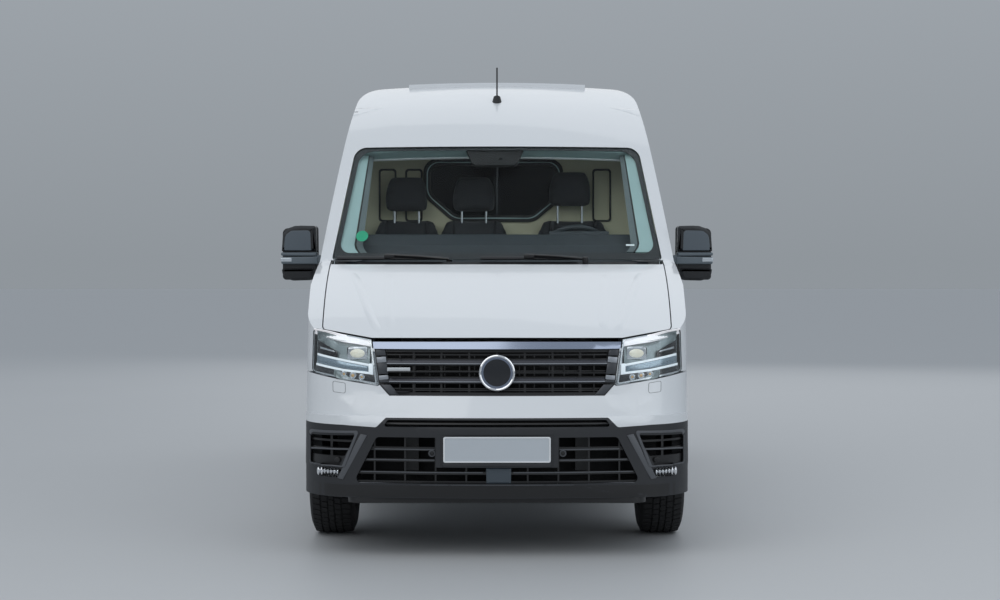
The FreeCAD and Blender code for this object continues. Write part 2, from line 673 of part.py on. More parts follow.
def lower_slats():
    sheet_shape = layer(14, 34)
    bars = []
    for low, high in ((532, 550), (478, 492), (416, 430), (374, 384), (660, 668)):
        bars.append(block((-FAR, FAR), (-50, 400), (low, high)))
    for index in range(-4, 5):
        bars.append(block((index * 150 - 4, index * 150 + 4), (-50, 400), (372, 598)))
    hole = front_prism(WIDE_OPENING, -50, 300, -RUN)
    slot = front_prism(SLOT, -50, 300, -RUN)
    vent = front_prism(VENT, -50, 300, -RUN)
    net = sheet_shape.common(joined(bars)).common(hole.fuse(slot))
    fins = []
    for low, high in ((570, 580), (530, 540), (452, 500)):
        fins.append(block((600, FAR), (-50, 400), (low, high)))
    fins.append(block((810, 822), (-50, 400), (452, 600)))
    side = sheet_shape.common(joined(fins).common(vent))
    shape = net.cut(block((-301, 301), (-50, 42), (451, 617)))
    return shape.fuse([side, mirrored(side)])


# The grille's heavy bars and thin fins, each from one height to another, and the disc in its middle
GRILLE_BARS = ((944, 978), (856, 890), (1012, 1027), (796, 808))
GRILLE_FINS = ((994, 1000), (914, 920), (828, 834))
DISC_UP = 911
DISC_RADIUS = 90


def upper_grille():
    sheet_shape = layer(16, 40)
    thin_sheet = layer(26, 38)
    hole = front_prism(GRILLE_HOLE, -50, 300, -RUN)
    thick = [block((-FAR, FAR), (-50, 400), rows) for rows in GRILLE_BARS]
    thin = [block((-FAR, FAR), (-50, 400), rows) for rows in GRILLE_FINS]
    for index in range(-4, 5):
        thin.append(block((index * 137 - 5, index * 137 + 5), (-50, 400), (790, 1030)))
    ends = front_prism(GRILLE_HOLE, -50, 300, -RUN).cut(front_prism(GRILLE_HOLE, -50, 300, -16))
    heavy = sheet_shape.common(joined(thick + [ends]).common(hole))
    light = thin_sheet.common(joined(thin).common(hole))
    hub = rod(at(0, 84 + RUN, DISC_UP), at(0, 116, DISC_UP), 60)
    return heavy.fuse([light, hub]).removeSplitter()


def grille_trim():
    """The bright strip over the grille, and the plain disc in its middle."""
    strip = layer(-5, 16 - RUN).common(front_prism(STRIP, -60, 300))
    disc = rod(at(0, 68, DISC_UP), at(0, 84, DISC_UP), DISC_RADIUS)
    disc = disc.makeFillet(5, [edge for edge in disc.Edges if edge.CenterOfMass.y < FRONT + 69])
    return Part.makeCompound([strip, disc])


def headlamp():
    depth = 8
    hollow = (WALL + RUN, size["nose_wall"] + RUN, size["roof_wall"] + RUN, LOW - 50)
    deep = (WALL + depth, size["nose_wall"] + depth, size["roof_wall"] + depth, LOW - 60)
    plate = nose(*hollow).cut(nose(*deep)).common(front_prism(LAMP, -50, 640, 12))
    ring = front_prism(LAMP, -50, 640, -1).cut(front_prism(LAMP, -50, 640, -8))
    rim = nose(3, 9, 0, LOW).cut(nose(*hollow)).common(ring)
    return plate.fuse(rim).removeSplitter()


def headlamp_lens():
    return layer(0, 8 - RUN).common(front_prism(LAMP, -50, 700, -1))


def fog_lamp():
    return layer(6, 30).common(front_prism(FOG, -50, 160, -RUN))


# Skin panels
part("roof_panel", roof_panel())
part("side_panel_left", side_panel(False))
part("side_panel_right", mirrored(side_panel(True)))
part("sliding_door", mirrored(sliding_door()))
part("rear_frame", rear_frame())
part("cab_frame", cab_frame())
part("windscreen", windscreen())
part("wings", pair(wing()))
part("bonnet", bonnet())
part("scuttle", scuttle())
part("front_bumper", front_bumper())
part("bumper_lower", lower_bumper())
part("lower_slats", lower_slats())
part("upper_grille", upper_grille())
part("grille_trim", grille_trim())
part("fog_lamps", pair(fog_lamp()))
part("headlamps", pair(headlamp()))
part("headlamp_lenses", pair(headlamp_lens()))
part("front_door_left", door_shell())
part("front_door_right", mirrored(door_shell()))
part("door_glass_left", door_glass())
part("door_glass_right", mirrored(door_glass()))
part("rear_door_left", rear_door())
part("rear_door_right", mirrored(rear_door()))


def tail_lamp():
    return front_prism(TAIL_LAMP, 5900, REAR + 5)


def rear_bumper():
    tread = plan_prism(((-1005, 5700, 0), (-1005, 5986, 60), (1005, 5986, 60), (1005, 5700, 0)), 420, 640)
    body = block((-FAR, FAR), (5600, REAR + RUN), (400, 700))
    return tread.cut(body).common(block((-FAR, FAR), (5700, 6000), (420, 640)))


BULKHEAD_THICK = 30
BULKHEAD_WINDOW = (
    (-410, 2040, 60), (365, 2040, 60), (365, 1860, 90), (215, 1735, 90), (-255, 1735, 90), (-410, 1870, 90),
)


def bulkhead():
    start = size["bulkhead_back"]
    wall = CAVITY.common(block((-FAR, FAR), (start, start + BULKHEAD_THICK), (size["floor_up"], 3000)))
    window = front_prism(BULKHEAD_WINDOW, start - 10, start + 60)
    presses = []
    for low, high in ((-714, -628), (-551, -468), (597, 689)):
        presses.append(front_prism(
            ((low, 1707, 20), (high, 1707, 20), (high, 2008, 20), (low, 2008, 20)), start - 10, start + 12))
    presses.append(front_prism(
        ((-760, 800, 60), (760, 800, 60), (760, 1450, 60), (-760, 1450, 60)), start - 10, start + 10))
    return wall.cut([window] + presses)


def bulkhead_window():
    start = size["bulkhead_back"]
    return front_prism(BULKHEAD_WINDOW, start + 10, start + 16, -RUN)


def floor_pan():
    back = size["bulkhead_back"] + BULKHEAD_THICK + RUN
    top = size["floor_up"]
    thick = size["floor_wall"]
    load = inside(back, WALL_REAR - RUN, top - thick, top)
    cab = inside(1480, back, top - thick - 30, top - thick + 10)
    house = arch(AXLES[1], size["arch_radius"] + 20, REAR_HOUSE, 951)
    pot = arch(AXLES[1], size["arch_radius"] + 12, REAR_HOUSE + 8, FAR)
    above = block((0, FAR), (4000, 5400), (top - thick, 1000))
    shell = house.common(above).common(cross_section(WALL + RUN, size["roof_wall"], 4000, 5400, LOW - 50))
    floor = load.cut([house, mirrored(house)]).fuse([shell, mirrored(shell), cab])
    floor = floor.cut([pot, mirrored(pot)])
    fire = block((-530, 530), (1300, 1320), (530 + RUN, 1330))
    heel = block((-530, 530), (1300, 1480), (530 + RUN, 550))
    return floor.fuse([fire, heel]).removeSplitter()


# Steering column: its direction, the middle of the wheel, and where it starts and ends from there
WHEEL_AXIS = Vector(0, 1, 0.9).normalize()
WHEEL_HUB = at(465, 1970, 1510)
COLUMN = (-330, -40)
COLUMN_RADIUS = 34


def dashboard():
    front = 1320 + RUN
    profile = ((front, 1000, 30), (front, 1400, 20), (1500, 1545, 60), (1640, 1608, 40), (1770, 1592, 30),
               (1745, 1350, 60), (1640, 1200, 60), (1620, 1000, 30))
    whole = side_prism(profile, -FAR, FAR).common(cross_section(WALL + 12, 40, 1300, 1800, 900))
    hood = side_prism(((1640, 1500, 20), (1660, 1626, 30), (1790, 1622, 20), (1780, 1500, 10)), 300, 640)
    console = side_prism(((1400, 1000, 0), (1680, 1000, 0), (1640, 640, 40), (1400, 640, 20)), -150, 150)
    middle = side_prism(((1600, 1020, 10), (1775, 1150, 30), (1785, 1480, 30), (1600, 1500, 10)), -170, 170)
    whole = whole.fuse([hood, console, middle]).removeSplitter()
    start, end = COLUMN
    foot = WHEEL_HUB + WHEEL_AXIS * (start - RUN)
    return whole.cut(Part.makeCylinder(COLUMN_RADIUS + GAP, end - start + RUN + 200, foot, WHEEL_AXIS))


def seat(low, high, heads):
    """A cab seat between two x places, with a head rest round each given x."""
    base = block((low + 40, high - 40), (1960, 2340), (size["floor_up"] - 30, 860))
    cushion = side_prism(((1900, 855, 30), (1900, 1010, 60), (2340, 960, 20), (2340, 855, 30)), low, high)
    back = ((2290, 930, 60), (2370, 1705, 50), (2470, 1690, 40), (2420, 930, 60))
    back = side_prism(back, low + 10, high - 10)
    pieces = [base, cushion, back]
    for middle in heads:
        rest = side_prism(((2345, 1790, 30), (2360, 1990, 40), (2450, 1980, 40), (2440, 1790, 30)),
                          middle - 128, middle + 128)
        pieces.append(rest)
        for side in (-55, 55):
            pieces.append(rod(at(middle + side, 2410, 1660), at(middle + side, 2410, 1800), 7))
    return pieces[0].fuse(pieces[1:]).removeSplitter()


def steering_wheel():
    hub = WHEEL_HUB
    axis = WHEEL_AXIS
    reach = 190
    rim = Part.makeTorus(reach, 16, hub, axis)
    boss = Part.makeCylinder(72, 60, hub + axis * -50, axis)
    start, end = COLUMN
    column = Part.makeCylinder(COLUMN_RADIUS, end - start, hub + axis * start, axis)
    spokes = []
    for direction in (Vector(1, 0, 0), Vector(-1, 0, 0), axis.cross(Vector(1, 0, 0)) * -1):
        spokes.append(Part.makeCylinder(14, reach - 2, hub, direction))
    return rim.fuse([boss, column] + spokes).removeSplitter()


WIPER_BACK = 1126
WIPER_UP = 1476


def wipers():
    """Two wiper blades parked over the scuttle, with a short arm each."""
    pieces = []
    for start, end in ((-880, -262), (-92, 482)):
        route = []
        for x in (start, end):
            reach = math.sqrt((size["turn_back"] - WIPER_BACK) ** 2 - x * x)
            route.append(at(x, size["turn_back"] - reach, WIPER_UP))
        pieces.append(rod(route[0], route[1], 9))
        pieces.append(rod(route[1] + Vector(-20, -35, -70), route[1] + Vector(-20, 0, 4), 10))
    glass = PLAIN.common(block((-FAR, FAR), (1000, 1400), (1456, 1600)))
    return joined(pieces).cut([envelope(0, 0, 16 - RUN, LOW), glass])


def antenna():
    foot = at(0, 2480, 2432)
    base = Part.makeCone(36, 20, 60, foot + Vector(0, 0, -26), Vector(0, 0.3, 1))
    mast = rod(foot + Vector(0, 8, 20), foot + Vector(0, 92, 215), 5)
    return base.cut(PLAIN).fuse(mast.cut(PLAIN)).removeSplitter()


MIRROR_FRONT = 1392
MIRROR_REAR = 1520
MIRROR = (
    (990, 1380, 30), (1010, 1640, 45), (1180, 1655, 40), (1212, 1600, 60), (1212, 1400, 50), (1150, 1345, 40),
    (1010, 1345, 30),
)


def mirror_head():
    shell = front_prism(MIRROR, MIRROR_FRONT, MIRROR_REAR)
    bevel = [edge for edge in shell.Edges if max(v.Point.y for v in edge.Vertexes) < FRONT + MIRROR_FRONT + 1]
    shell = shell.makeFillet(26, bevel)
    glass = front_prism(MIRROR, MIRROR_REAR - 15, MIRROR_REAR + 10, -14)
    arm = block((930, 1000), (1400, 1440), (1425, 1470))
    keep_out = cross_section(0, 0, 1300, 1600, LOW)
    return shell.cut(glass).fuse(arm).cut(keep_out).removeSplitter()


def liner():
    """The lining of a front wheelhouse, open below and to the side."""
    radius = size["arch_radius"]
    tube = arch(AXLES[0], radius + 8, size["arch_inner"] - 8, 965).cut(
        arch(AXLES[0], radius, size["arch_inner"], FAR))
    keep_zone = block((0, FAR), (560, 1500), (430, 1000))
    gate = block((500, size["arch_inner"] + 1), (AXLES[0] - 130, AXLES[0] + 130), (0, 560))
    return tube.common(keep_zone).cut([gate, PLAIN.cut(INNER)])


def undertray():
    points = ((-760, 60, 80), (760, 60, 80), (640, 494, 60), (-640, 494, 60))
    return plan_prism(points, 272, LOW)


def side_mouldings():
    """The dark strips low on the sides."""
    rows = {1: ((2520, 4190), (5110, 5700)), -1: ((2520, 3786), (3800, 4190), (5110, 5700))}
    strips = []
    for hand in (1, -1):
        for start, end in rows[hand]:
            strip = cross_section(-7, 0, start, end, LOW)
            strip = strip.cut(cross_section(-RUN, -10, start - 9, end + 9, LOW))
            strip = strip.common(block((0, FAR), (start, end), (700, 820)))
            strips.append(strip if hand > 0 else mirrored(strip))
    return Part.makeCompound(strips)


# Rear, cab, mirrors and lower body
part("tail_lamps", pair(tail_lamp()))
part("rear_bumper", rear_bumper())
part("bulkhead", bulkhead())
part("bulkhead_window", bulkhead_window())
part("floor_pan", floor_pan())
part("dashboard", dashboard())
part("driver_seat", seat(230, 710, (470,)))
part("passenger_bench", seat(-760, 60, (-545, -130)))
part("steering_wheel", steering_wheel())
part("wipers", wipers())
part("antenna", antenna())
part("mirror_left", mirror_head())
part("mirror_right", mirrored(mirror_head()))
part("wheel_liners", pair(liner()))
part("undertray", undertray())
part("side_mouldings", side_mouldings())
part("front_plate", block((-260, 260), (4, 10 - RUN), (478, 600)))


def front_beam():
    """The beam behind the bumpers, which follows the nose's inner face."""
    depth = 60
    deep = envelope(WALL + depth, size["nose_wall"] + depth, size["roof_wall"] + depth, LOW - 60)
    return CAVITY.cut(deep).common(block((-720, 720), (-50, 500), (622, 740)))


def leaf_springs():
    """Two springs on the beam axle, each with hangers up to the floor's cross members."""
    top = size["floor_up"] - size["floor_wall"] - RUN
    middle = AXLES[1]
    pieces = []
    for hand in (1, -1):
        low, high = sorted((hand * 525, hand * 595))
        bow = bowed_bar(low, middle, 700, size["tyre_radius"] + 44, 500, 26, high - low)
        ends = (middle - 700, middle + 700)
        hangers = [block((low, high), (end - 30, end + 30), (498, top)) for end in ends]
        pieces.append(bow.fuse(hangers))
    return Part.makeCompound(pieces)


def bowed_bar(x, middle, reach, low, high, thick, width):
    """A bowed flat bar, low in the middle and high at both ends."""
    start, end = middle - reach, middle + reach
    edges = [
        Part.Arc(at(x, start, high), at(x, middle, low), at(x, end, high)),
        Part.LineSegment(at(x, end, high), at(x, end, high + thick)),
        Part.Arc(at(x, end, high + thick), at(x, middle, low + thick), at(x, start, high + thick)),
        Part.LineSegment(at(x, start, high + thick), at(x, start, high)),
    ]
    face = Part.Face(Part.Wire([edge.toShape() for edge in edges]))
    return face.extrude(Vector(width, 0, 0))


def sketch_ring(label, corners):
    """A body turned about the X axis from corners given as cell expressions of place and radius."""
    body = doc.addObject("PartDesign::Body", label)
    sketch = body.newObject("Sketcher::SketchObject", label + "_section")
    plane = [item for item in body.Origin.OriginFeatures if item.Role == "XY_Plane"][0]
    sketch.AttachmentSupport = [(plane, "")]
    sketch.MapMode = "FlatFace"
    spots = [Vector(*[eval_cell(text) for text in texts], 0) for texts in corners]
    count = len(spots)
    for index in range(count):
        sketch.addGeometry(Part.LineSegment(spots[index], spots[(index + 1) % count]), False)
    for index in range(count):
        sketch.addConstraint(Sketcher.Constraint("Coincident", index, 2, (index + 1) % count, 1))
    for index, texts in enumerate(corners):
        for kind, text, value in zip(("DistanceX", "DistanceY"), texts, spots[index]):
            number = sketch.addConstraint(Sketcher.Constraint(kind, -1, 1, index, 1, value))
            sketch.setExpression(f"Constraints[{number}]", bound(text))
    turn = body.newObject("PartDesign::Revolution", label + "_turn")
    turn.Profile = sketch
    turn.ReferenceAxis = (sketch, ["H_Axis"])
    turn.Angle = 360
    body.Tip = turn
    return body


def eval_cell(text):
    """The value of a simple cell expression, to place a sketch's lines before they are bound."""
    probe = doc.addObject("App::FeaturePython", "probe")
    probe.addProperty("App::PropertyFloat", "amount")
    probe.setExpression("amount", bound(text))
    probe.recompute()
    value = probe.amount
    doc.removeObject(probe.Name)
    return value


# Section of a tyre: along the axle, radius
TYRE = (
    ("rim_width / 2", "rim_radius"),
    ("tyre_width / 2", "tyre_radius - 74"),
    ("tyre_width / 2 - 24", "tyre_radius"),
    ("24 - tyre_width / 2", "tyre_radius"),
    ("-tyre_width / 2", "tyre_radius - 74"),
    ("-rim_width / 2", "rim_radius"),
)
# Section of a rim with its brake disc: along the axle to the outside, radius
RIM = (
    ("-rim_width / 2", "rim_radius - run"),
    ("rim_width / 2", "rim_radius - run"),
    ("rim_width / 2", "rim_radius - 14"),
    ("rim_width / 2 - 30", "rim_radius - 20"),
    ("hub_face", "rim_radius - 100"),
    ("hub_face + 12", "rim_radius - 125"),
    ("hub_face + 12", "stub_radius + run"),
    ("hub_face - 66", "stub_radius + run"),
    ("hub_face - 66", "disc_radius"),
    ("hub_face - 42", "disc_radius"),
    ("hub_face - 42", "stub_radius + 45"),
    ("hub_face - 12", "stub_radius + 45"),
    ("hub_face - 12", "rim_radius - 100"),
    ("rim_width / 2 - 42", "rim_radius - 19"),
    ("-rim_width / 2", "rim_radius - 17"),
)

# Wheels: name, hand, back place of the axle
WHEELS = (
    ("front_left", 1, "front_axle_back"),
    ("front_right", -1, "front_axle_back"),
    ("rear_left", 1, "front_axle_back + wheelbase"),
    ("rear_right", -1, "front_axle_back + wheelbase"),
)
for name, hand, axle in WHEELS:
    for kind, corners in (("tyre", TYRE), ("rim", RIM)):
        body = sketch_ring(f"{kind}_{name}", corners)
        turn = Rotation() if hand > 0 else Rotation(Vector(0, 0, 1), 180)
        body.Placement = FreeCAD.Placement(Vector(0, 0, 0), turn)
        body.setExpression("Placement.Base.x", bound(f"{hand} * track / 2"))
        body.setExpression("Placement.Base.y", bound(f"{axle} - length / 2"))
        body.setExpression("Placement.Base.z", bound("tyre_radius"))
        keep(f"{kind}_{name}", body)

for name, hand, axle in WHEELS[:2]:
    side = "left" if hand > 0 else "right"
    post = cylinder(f"post_{side}", (f"{hand} * kingpin", axle, "tyre_radius - post_reach"), "Z",
                    "post_radius", "2 * post_reach")
    stub_start = "kingpin" if hand > 0 else "-track / 2 - hub_face - 16"
    stub = cylinder(f"stub_{side}", (stub_start, axle, "tyre_radius"), "X", "stub_radius",
                    "track / 2 + hub_face + 16 - kingpin")
    lever_place = (f"{hand} * kingpin - 14", f"{axle} + 10", "tyre_radius - 50")
    lever = box(f"lever_{side}", lever_place, (28, 120, 24))
    keep(f"knuckle_{side}", fused(f"knuckle_{side}", [post, stub, lever]))

# Chassis. Each cross member lies between the rails and the floor.
RAIL_SIDES = (("left", "rail_place"), ("right", "-rail_place - rail_width"))
rails = []
for side, start in RAIL_SIDES:
    rails.append(box(f"rail_{side}", (start, 260, "floor_up - floor_wall - 30 - rail_depth"),
                     ("rail_width", 5450, "rail_depth")))
keep("chassis_rails", group("chassis_rails", rails))

members = []
for index, place in enumerate((2560, 3300, 4000, 5180, 5600)):
    members.append(box(f"cross_{index}", (-900, place, "floor_up - floor_wall - 30"), (1800, 80, "30 - run")))
keep("cross_members", group("cross_members", members))

beam = [feature("beam", front_beam())]
for side, start in RAIL_SIDES:
    beam.append(box(f"beam_post_{side}", (start, 90, "floor_up - floor_wall - 30 - rail_depth"),
                    ("rail_width", "170 - run", "rail_depth + 130")))
keep("bumper_beam", fused("bumper_beam", beam))

axle = "front_axle_back"
frame = [box("cross_beam", ("-rail_place - rail_width", f"{axle} - 60", 185),
             ("2 * rail_place + 2 * rail_width", 120, 70))]
for side, start in RAIL_SIDES:
    frame.append(box(f"tower_{side}", (start, f"{axle} - 60", 250),
                     ("rail_width", 120, "floor_up - floor_wall - 280 - rail_depth - run")))
for side, hand in (("left", 1), ("right", -1)):
    start = "rail_place" if hand > 0 else "-kingpin - 22"
    reach = "kingpin + 22 - rail_place"
    frame.append(box(f"lower_arm_{side}", (start, f"{axle} - 28", "tyre_radius - post_reach - 30 - run"),
                     (reach, 56, 30)))
    start = "580" if hand > 0 else "-kingpin - 22"
    frame.append(box(f"upper_arm_{side}", (start, f"{axle} - 28", "tyre_radius + post_reach + run"),
                     ("kingpin + 22 - 580", 56, 28)))
    frame.append(cylinder(f"strut_{side}", (f"{hand} * 600", axle, "tyre_radius - post_reach - 12"), "Z", 38,
                          "arch_up + arch_radius - tyre_radius + post_reach + 8"))
keep("front_subframe", fused("front_subframe", frame))

axle = "front_axle_back + wheelbase"
beam = [cylinder("axle_tube", ("-700", axle, "tyre_radius"), "X", 48, 1400)]
beam.append(cylinder("rear_stub", ("-track / 2 - hub_face - 16", axle, "tyre_radius"), "X", "stub_radius",
                     "track + 2 * hub_face + 32"))
beam.append(primitive("Sphere", "differential", (0, axle, "tyre_radius"), Rotation(), {"Radius": 125}))
beam.append(feature("leaf_springs", leaf_springs()))
keep("rear_axle", fused("rear_axle", beam))

keep("engine_block", box("engine_block", (-260, "front_axle_back - 500", "255 + run"), (520, 560, 720)))
keep("radiator", box("radiator", (-360, 225, "ground_clearance + run"), (720, 60, 660)))
keep("fuel_tank", box("fuel_tank", ("rail_place + rail_width + run", 2620, 320), (400, 900, "210 - run")))
keep("exhaust", fused("exhaust", [
    cylinder("pipe", (-320, "front_axle_back + 60 + run", 345), "Y", 30, 3050),
    cylinder("silencer", (-320, 2700, 345), "Y", 85, 700),
    cylinder("outlet", (-880, "front_axle_back + 60 + run + 3020", 345), "X", 30, 560),
    box("hanger", ("-rail_place + run", 2900, 425), (40, 60, 60)),
]))

doc.recompute()
for thing in doc.Objects:
    if "Invalid" in thing.State or "Error" in thing.State:
        raise RuntimeError(f"{thing.Name} did not recompute")
for label, thing in PARTS.items():
    if thing.Shape.isNull() or not thing.Shape.isValid() or not thing.Shape.Solids:
        raise RuntimeError(f"{label} has no valid solid")

os.makedirs("parts", exist_ok=True)
for label, thing in PARTS.items():
    thing.Shape.exportStep(f"parts/{label}.step")
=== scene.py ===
import json
import math

import bpy
from bpy.props import FloatProperty, FloatVectorProperty, PointerProperty
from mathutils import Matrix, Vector
from mathutils.bvhtree import BVHTree


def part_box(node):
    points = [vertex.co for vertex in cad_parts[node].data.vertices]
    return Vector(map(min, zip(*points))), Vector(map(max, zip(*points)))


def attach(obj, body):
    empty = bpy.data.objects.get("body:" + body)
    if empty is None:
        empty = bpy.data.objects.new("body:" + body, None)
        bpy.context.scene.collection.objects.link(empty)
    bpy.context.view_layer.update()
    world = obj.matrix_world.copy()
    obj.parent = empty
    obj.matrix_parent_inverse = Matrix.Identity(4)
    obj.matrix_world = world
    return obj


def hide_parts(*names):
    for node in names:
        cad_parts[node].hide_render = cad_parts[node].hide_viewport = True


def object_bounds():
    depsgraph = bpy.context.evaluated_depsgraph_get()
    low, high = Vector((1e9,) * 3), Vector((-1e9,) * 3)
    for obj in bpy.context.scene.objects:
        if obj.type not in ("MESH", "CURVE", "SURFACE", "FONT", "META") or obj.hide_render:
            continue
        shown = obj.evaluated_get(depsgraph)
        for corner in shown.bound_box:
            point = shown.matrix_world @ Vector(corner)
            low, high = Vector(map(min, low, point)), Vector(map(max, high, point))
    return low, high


bl_info = {
    "name": "Panel Van Dressing",
    "version": (1, 0, 0),
    "blender": (4, 5, 0),
    "location": "View3D > Sidebar > Van",
    "description": "Dresses the panel van's solids with finished pieces and materials",
    "category": "Object",
}

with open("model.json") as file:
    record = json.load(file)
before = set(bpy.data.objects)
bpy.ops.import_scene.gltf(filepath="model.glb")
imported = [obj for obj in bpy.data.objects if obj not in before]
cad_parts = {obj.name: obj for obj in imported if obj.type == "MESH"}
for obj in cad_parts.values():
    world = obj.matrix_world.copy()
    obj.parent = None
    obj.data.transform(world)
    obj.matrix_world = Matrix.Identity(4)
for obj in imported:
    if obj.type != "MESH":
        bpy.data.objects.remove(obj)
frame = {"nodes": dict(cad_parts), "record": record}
CAD_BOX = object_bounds()
NODES = frame["nodes"]
BODY_OF = {node: body for body, nodes in frame["record"]["behaviour"]["bodies"].items()
    for node in nodes}
MATERIALS = {}


# Helpers for pieces

SHARP = math.radians(50)
SHELL_SHARP = math.radians(24)
SEAM_GAP = 0.00002
FRONT = CAD_BOX[0][1]
BACK = CAD_BOX[1][1]


def back_of(distance):
    """A y place at a distance behind the front bumper's face, in metres."""
    return FRONT + distance


def deselect():
    """Go to object mode with nothing selected."""
    if bpy.context.mode != "OBJECT":
        bpy.ops.object.mode_set(mode="OBJECT")
    bpy.ops.object.select_all(action="DESELECT")


def choose(*pieces):
    """Select the given pieces alone, the first one active."""
    deselect()
    for piece in pieces:
        piece.select_set(True)
    bpy.context.view_layer.objects.active = pieces[0]


def open_mesh(piece):
    """Go to edit mode with the piece's whole mesh selected."""
    choose(piece)
    bpy.ops.object.mode_set(mode="EDIT")
    bpy.ops.mesh.select_all(action="SELECT")


def turn_out(piece):
    """Make all faces of a piece look outward."""
    open_mesh(piece)
    bpy.ops.mesh.normals_make_consistent(inside=False)
    bpy.ops.object.mode_set(mode="OBJECT")
    return piece


def freeze(piece):
    """Put a piece's place, turn and scale into its mesh."""
    choose(piece)
    bpy.ops.object.transform_apply(location=True, rotation=True, scale=True)
    return piece


def modify(piece, kind, **settings):
    """Add a modifier to a piece and apply it."""
    choose(piece)
    modifier = piece.modifiers.new(kind.lower(), kind)
    for key, value in settings.items():
        setattr(modifier, key, value)
    bpy.ops.object.modifier_apply(modifier=modifier.name)
    return piece


def bevelled(piece, width, segments=2, angle=SHARP):
    """Round the edges that are sharper than an angle."""
    if width:
        modify(piece, "BEVEL", width=width, segments=segments, limit_method="ANGLE",
            angle_limit=angle)
    return piece


def smooth(piece, degrees):
    """Shade a piece smooth except at edges sharper than an angle."""
    choose(piece)
    bpy.ops.object.shade_smooth_by_angle(angle=math.radians(degrees))
    return piece


def finish(piece, name, body, finish_name, degrees=35):
    """Name, smooth, place, paint and hang a piece on its body."""
    freeze(piece)
    piece.name = name
    piece.data.name = name
    if degrees:
        smooth(piece, degrees)
    piece.data.materials.clear()
    piece.data.materials.append(MATERIALS[finish_name])
    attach(piece, body)
    return piece


def merged(pieces):
    """Join pieces into the first one."""
    choose(*pieces)
    if len(pieces) > 1:
        bpy.ops.object.join()
    return bpy.context.view_layer.objects.active


def copied(name, mesh):
    """A new piece with its own copy of a mesh."""
    piece = bpy.data.objects.new(name, mesh.copy())
    bpy.context.scene.collection.objects.link(piece)
    return piece


def shaped(spots, fill="NGON"):
    """A face, or with fill NOTHING a loop of edges, through points in space."""
    deselect()
    bpy.ops.mesh.primitive_circle_add(vertices=len(spots), radius=1, fill_type=fill)
    piece = bpy.context.active_object
    for vertex, spot in zip(piece.data.vertices, spots):
        vertex.co = spot
    return piece


def box_between(low, high, bevel=0.003, segments=2):
    """A box between two corners with rounded edges, as a start for a piece."""
    deselect()
    middle = [(a + b) / 2 for a, b in zip(low, high)]
    bpy.ops.mesh.primitive_cube_add(size=1, location=middle)
    piece = bpy.context.active_object
    piece.scale = [b - a for a, b in zip(low, high)]
    freeze(piece)
    if bevel:
        modify(piece, "BEVEL", width=bevel, segments=segments)
    return piece


def drum(start, end, radius, sides=32, bevel=0.0, second=None):
    """A round bar between two points, tapering to a second radius."""
    start, end = Vector(start), Vector(end)
    along = end - start
    deselect()
    bpy.ops.mesh.primitive_cone_add(vertices=sides, radius1=radius,
        radius2=radius if second is None else second, depth=along.length,
        location=(start + end) / 2, rotation=along.to_track_quat("Z", "Y").to_euler())
    return bevelled(freeze(bpy.context.active_object), bevel)


def plate(corners, thickness, bevel=0.002, segments=2):
    """A flat plate from corner points in space, thickened along its normal."""
    piece = modify(shaped(corners), "SOLIDIFY", thickness=thickness, offset=0)
    return turn_out(bevelled(piece, bevel, segments))


def tube(points, radius, sides=8):
    """A bar of round section that follows points, made as a curve and turned into a mesh."""
    deselect()
    bpy.ops.curve.primitive_nurbs_path_add()
    curve = bpy.context.active_object.data
    curve.splines.clear()
    spline = curve.splines.new("POLY")
    spline.points.add(len(points) - 1)
    for spot, point in zip(spline.points, points):
        spot.co = (*point, 1)
    curve.dimensions = "3D"
    curve.twist_mode = "Z_UP"
    curve.bevel_depth = radius
    curve.bevel_resolution = max(1, sides // 4 - 1)
    curve.use_fill_caps = True
    bpy.ops.object.convert(target="MESH")
    return bpy.context.active_object


def ball(centre, radius, segments=24, rings=12, stretch=(1, 1, 1)):
    """A ball stretched along the three axes."""
    deselect()
    bpy.ops.mesh.primitive_uv_sphere_add(segments=segments, ring_count=rings, radius=radius,
        location=centre)
    piece = bpy.context.active_object
    piece.scale = stretch
    return freeze(piece)


def turned(section, steps=96):
    """A ring turned about the X axis from a section of (along, radius) pairs."""
    piece = shaped([(along, 0, radius) for along, radius in section], "NOTHING")
    open_mesh(piece)
    bpy.ops.mesh.spin(steps=steps, angle=2 * math.pi, center=(0, 0, 0), axis=(1, 0, 0))
    bpy.ops.mesh.select_all(action="SELECT")
    bpy.ops.mesh.remove_doubles(threshold=0.00005)
    return turn_out(piece)


def faced(section, steps, place):
    """A turned ring whose axis runs along Y, at a place."""
    piece = turned(section, steps)
    piece.rotation_euler = (0, 0, math.radians(90))
    piece.location = place
    return freeze(piece)


def swung(piece, turn):
    """A piece turned about the X axis."""
    piece.rotation_euler = (turn, 0, 0)
    return freeze(piece)


TREES = {}


def tree_of(node):
    """A CAD node's mesh as a tree for casting rays, built once."""
    if node not in TREES:
        mesh = NODES[node].data
        TREES[node] = BVHTree.FromPolygons([vertex.co for vertex in mesh.vertices],
            [face.vertices for face in mesh.polygons])
    return TREES[node]


def ahead_of(node, x, z, start=-4.0, way=1):
    """Where a line along Y from ahead (or from behind, with way -1) meets a CAD node."""
    spot = tree_of(node).ray_cast(Vector((x, start, z)), Vector((0, way, 0)))[0]
    return spot.y if spot else None


def behind_at(node, x, z, start=4.0, missing=BACK):
    """Where a line along Y from behind meets a CAD node, or a place given for a miss."""
    return ahead_of(node, x, z, start, -1) or missing


def beside(node, y, z, hand=1):
    """Where a line along X from outside meets a CAD node on one side."""
    spot = tree_of(node).ray_cast(Vector((hand * 2.0, y, z)), Vector((-hand, 0, 0)))[0]
    return spot.x if spot else None


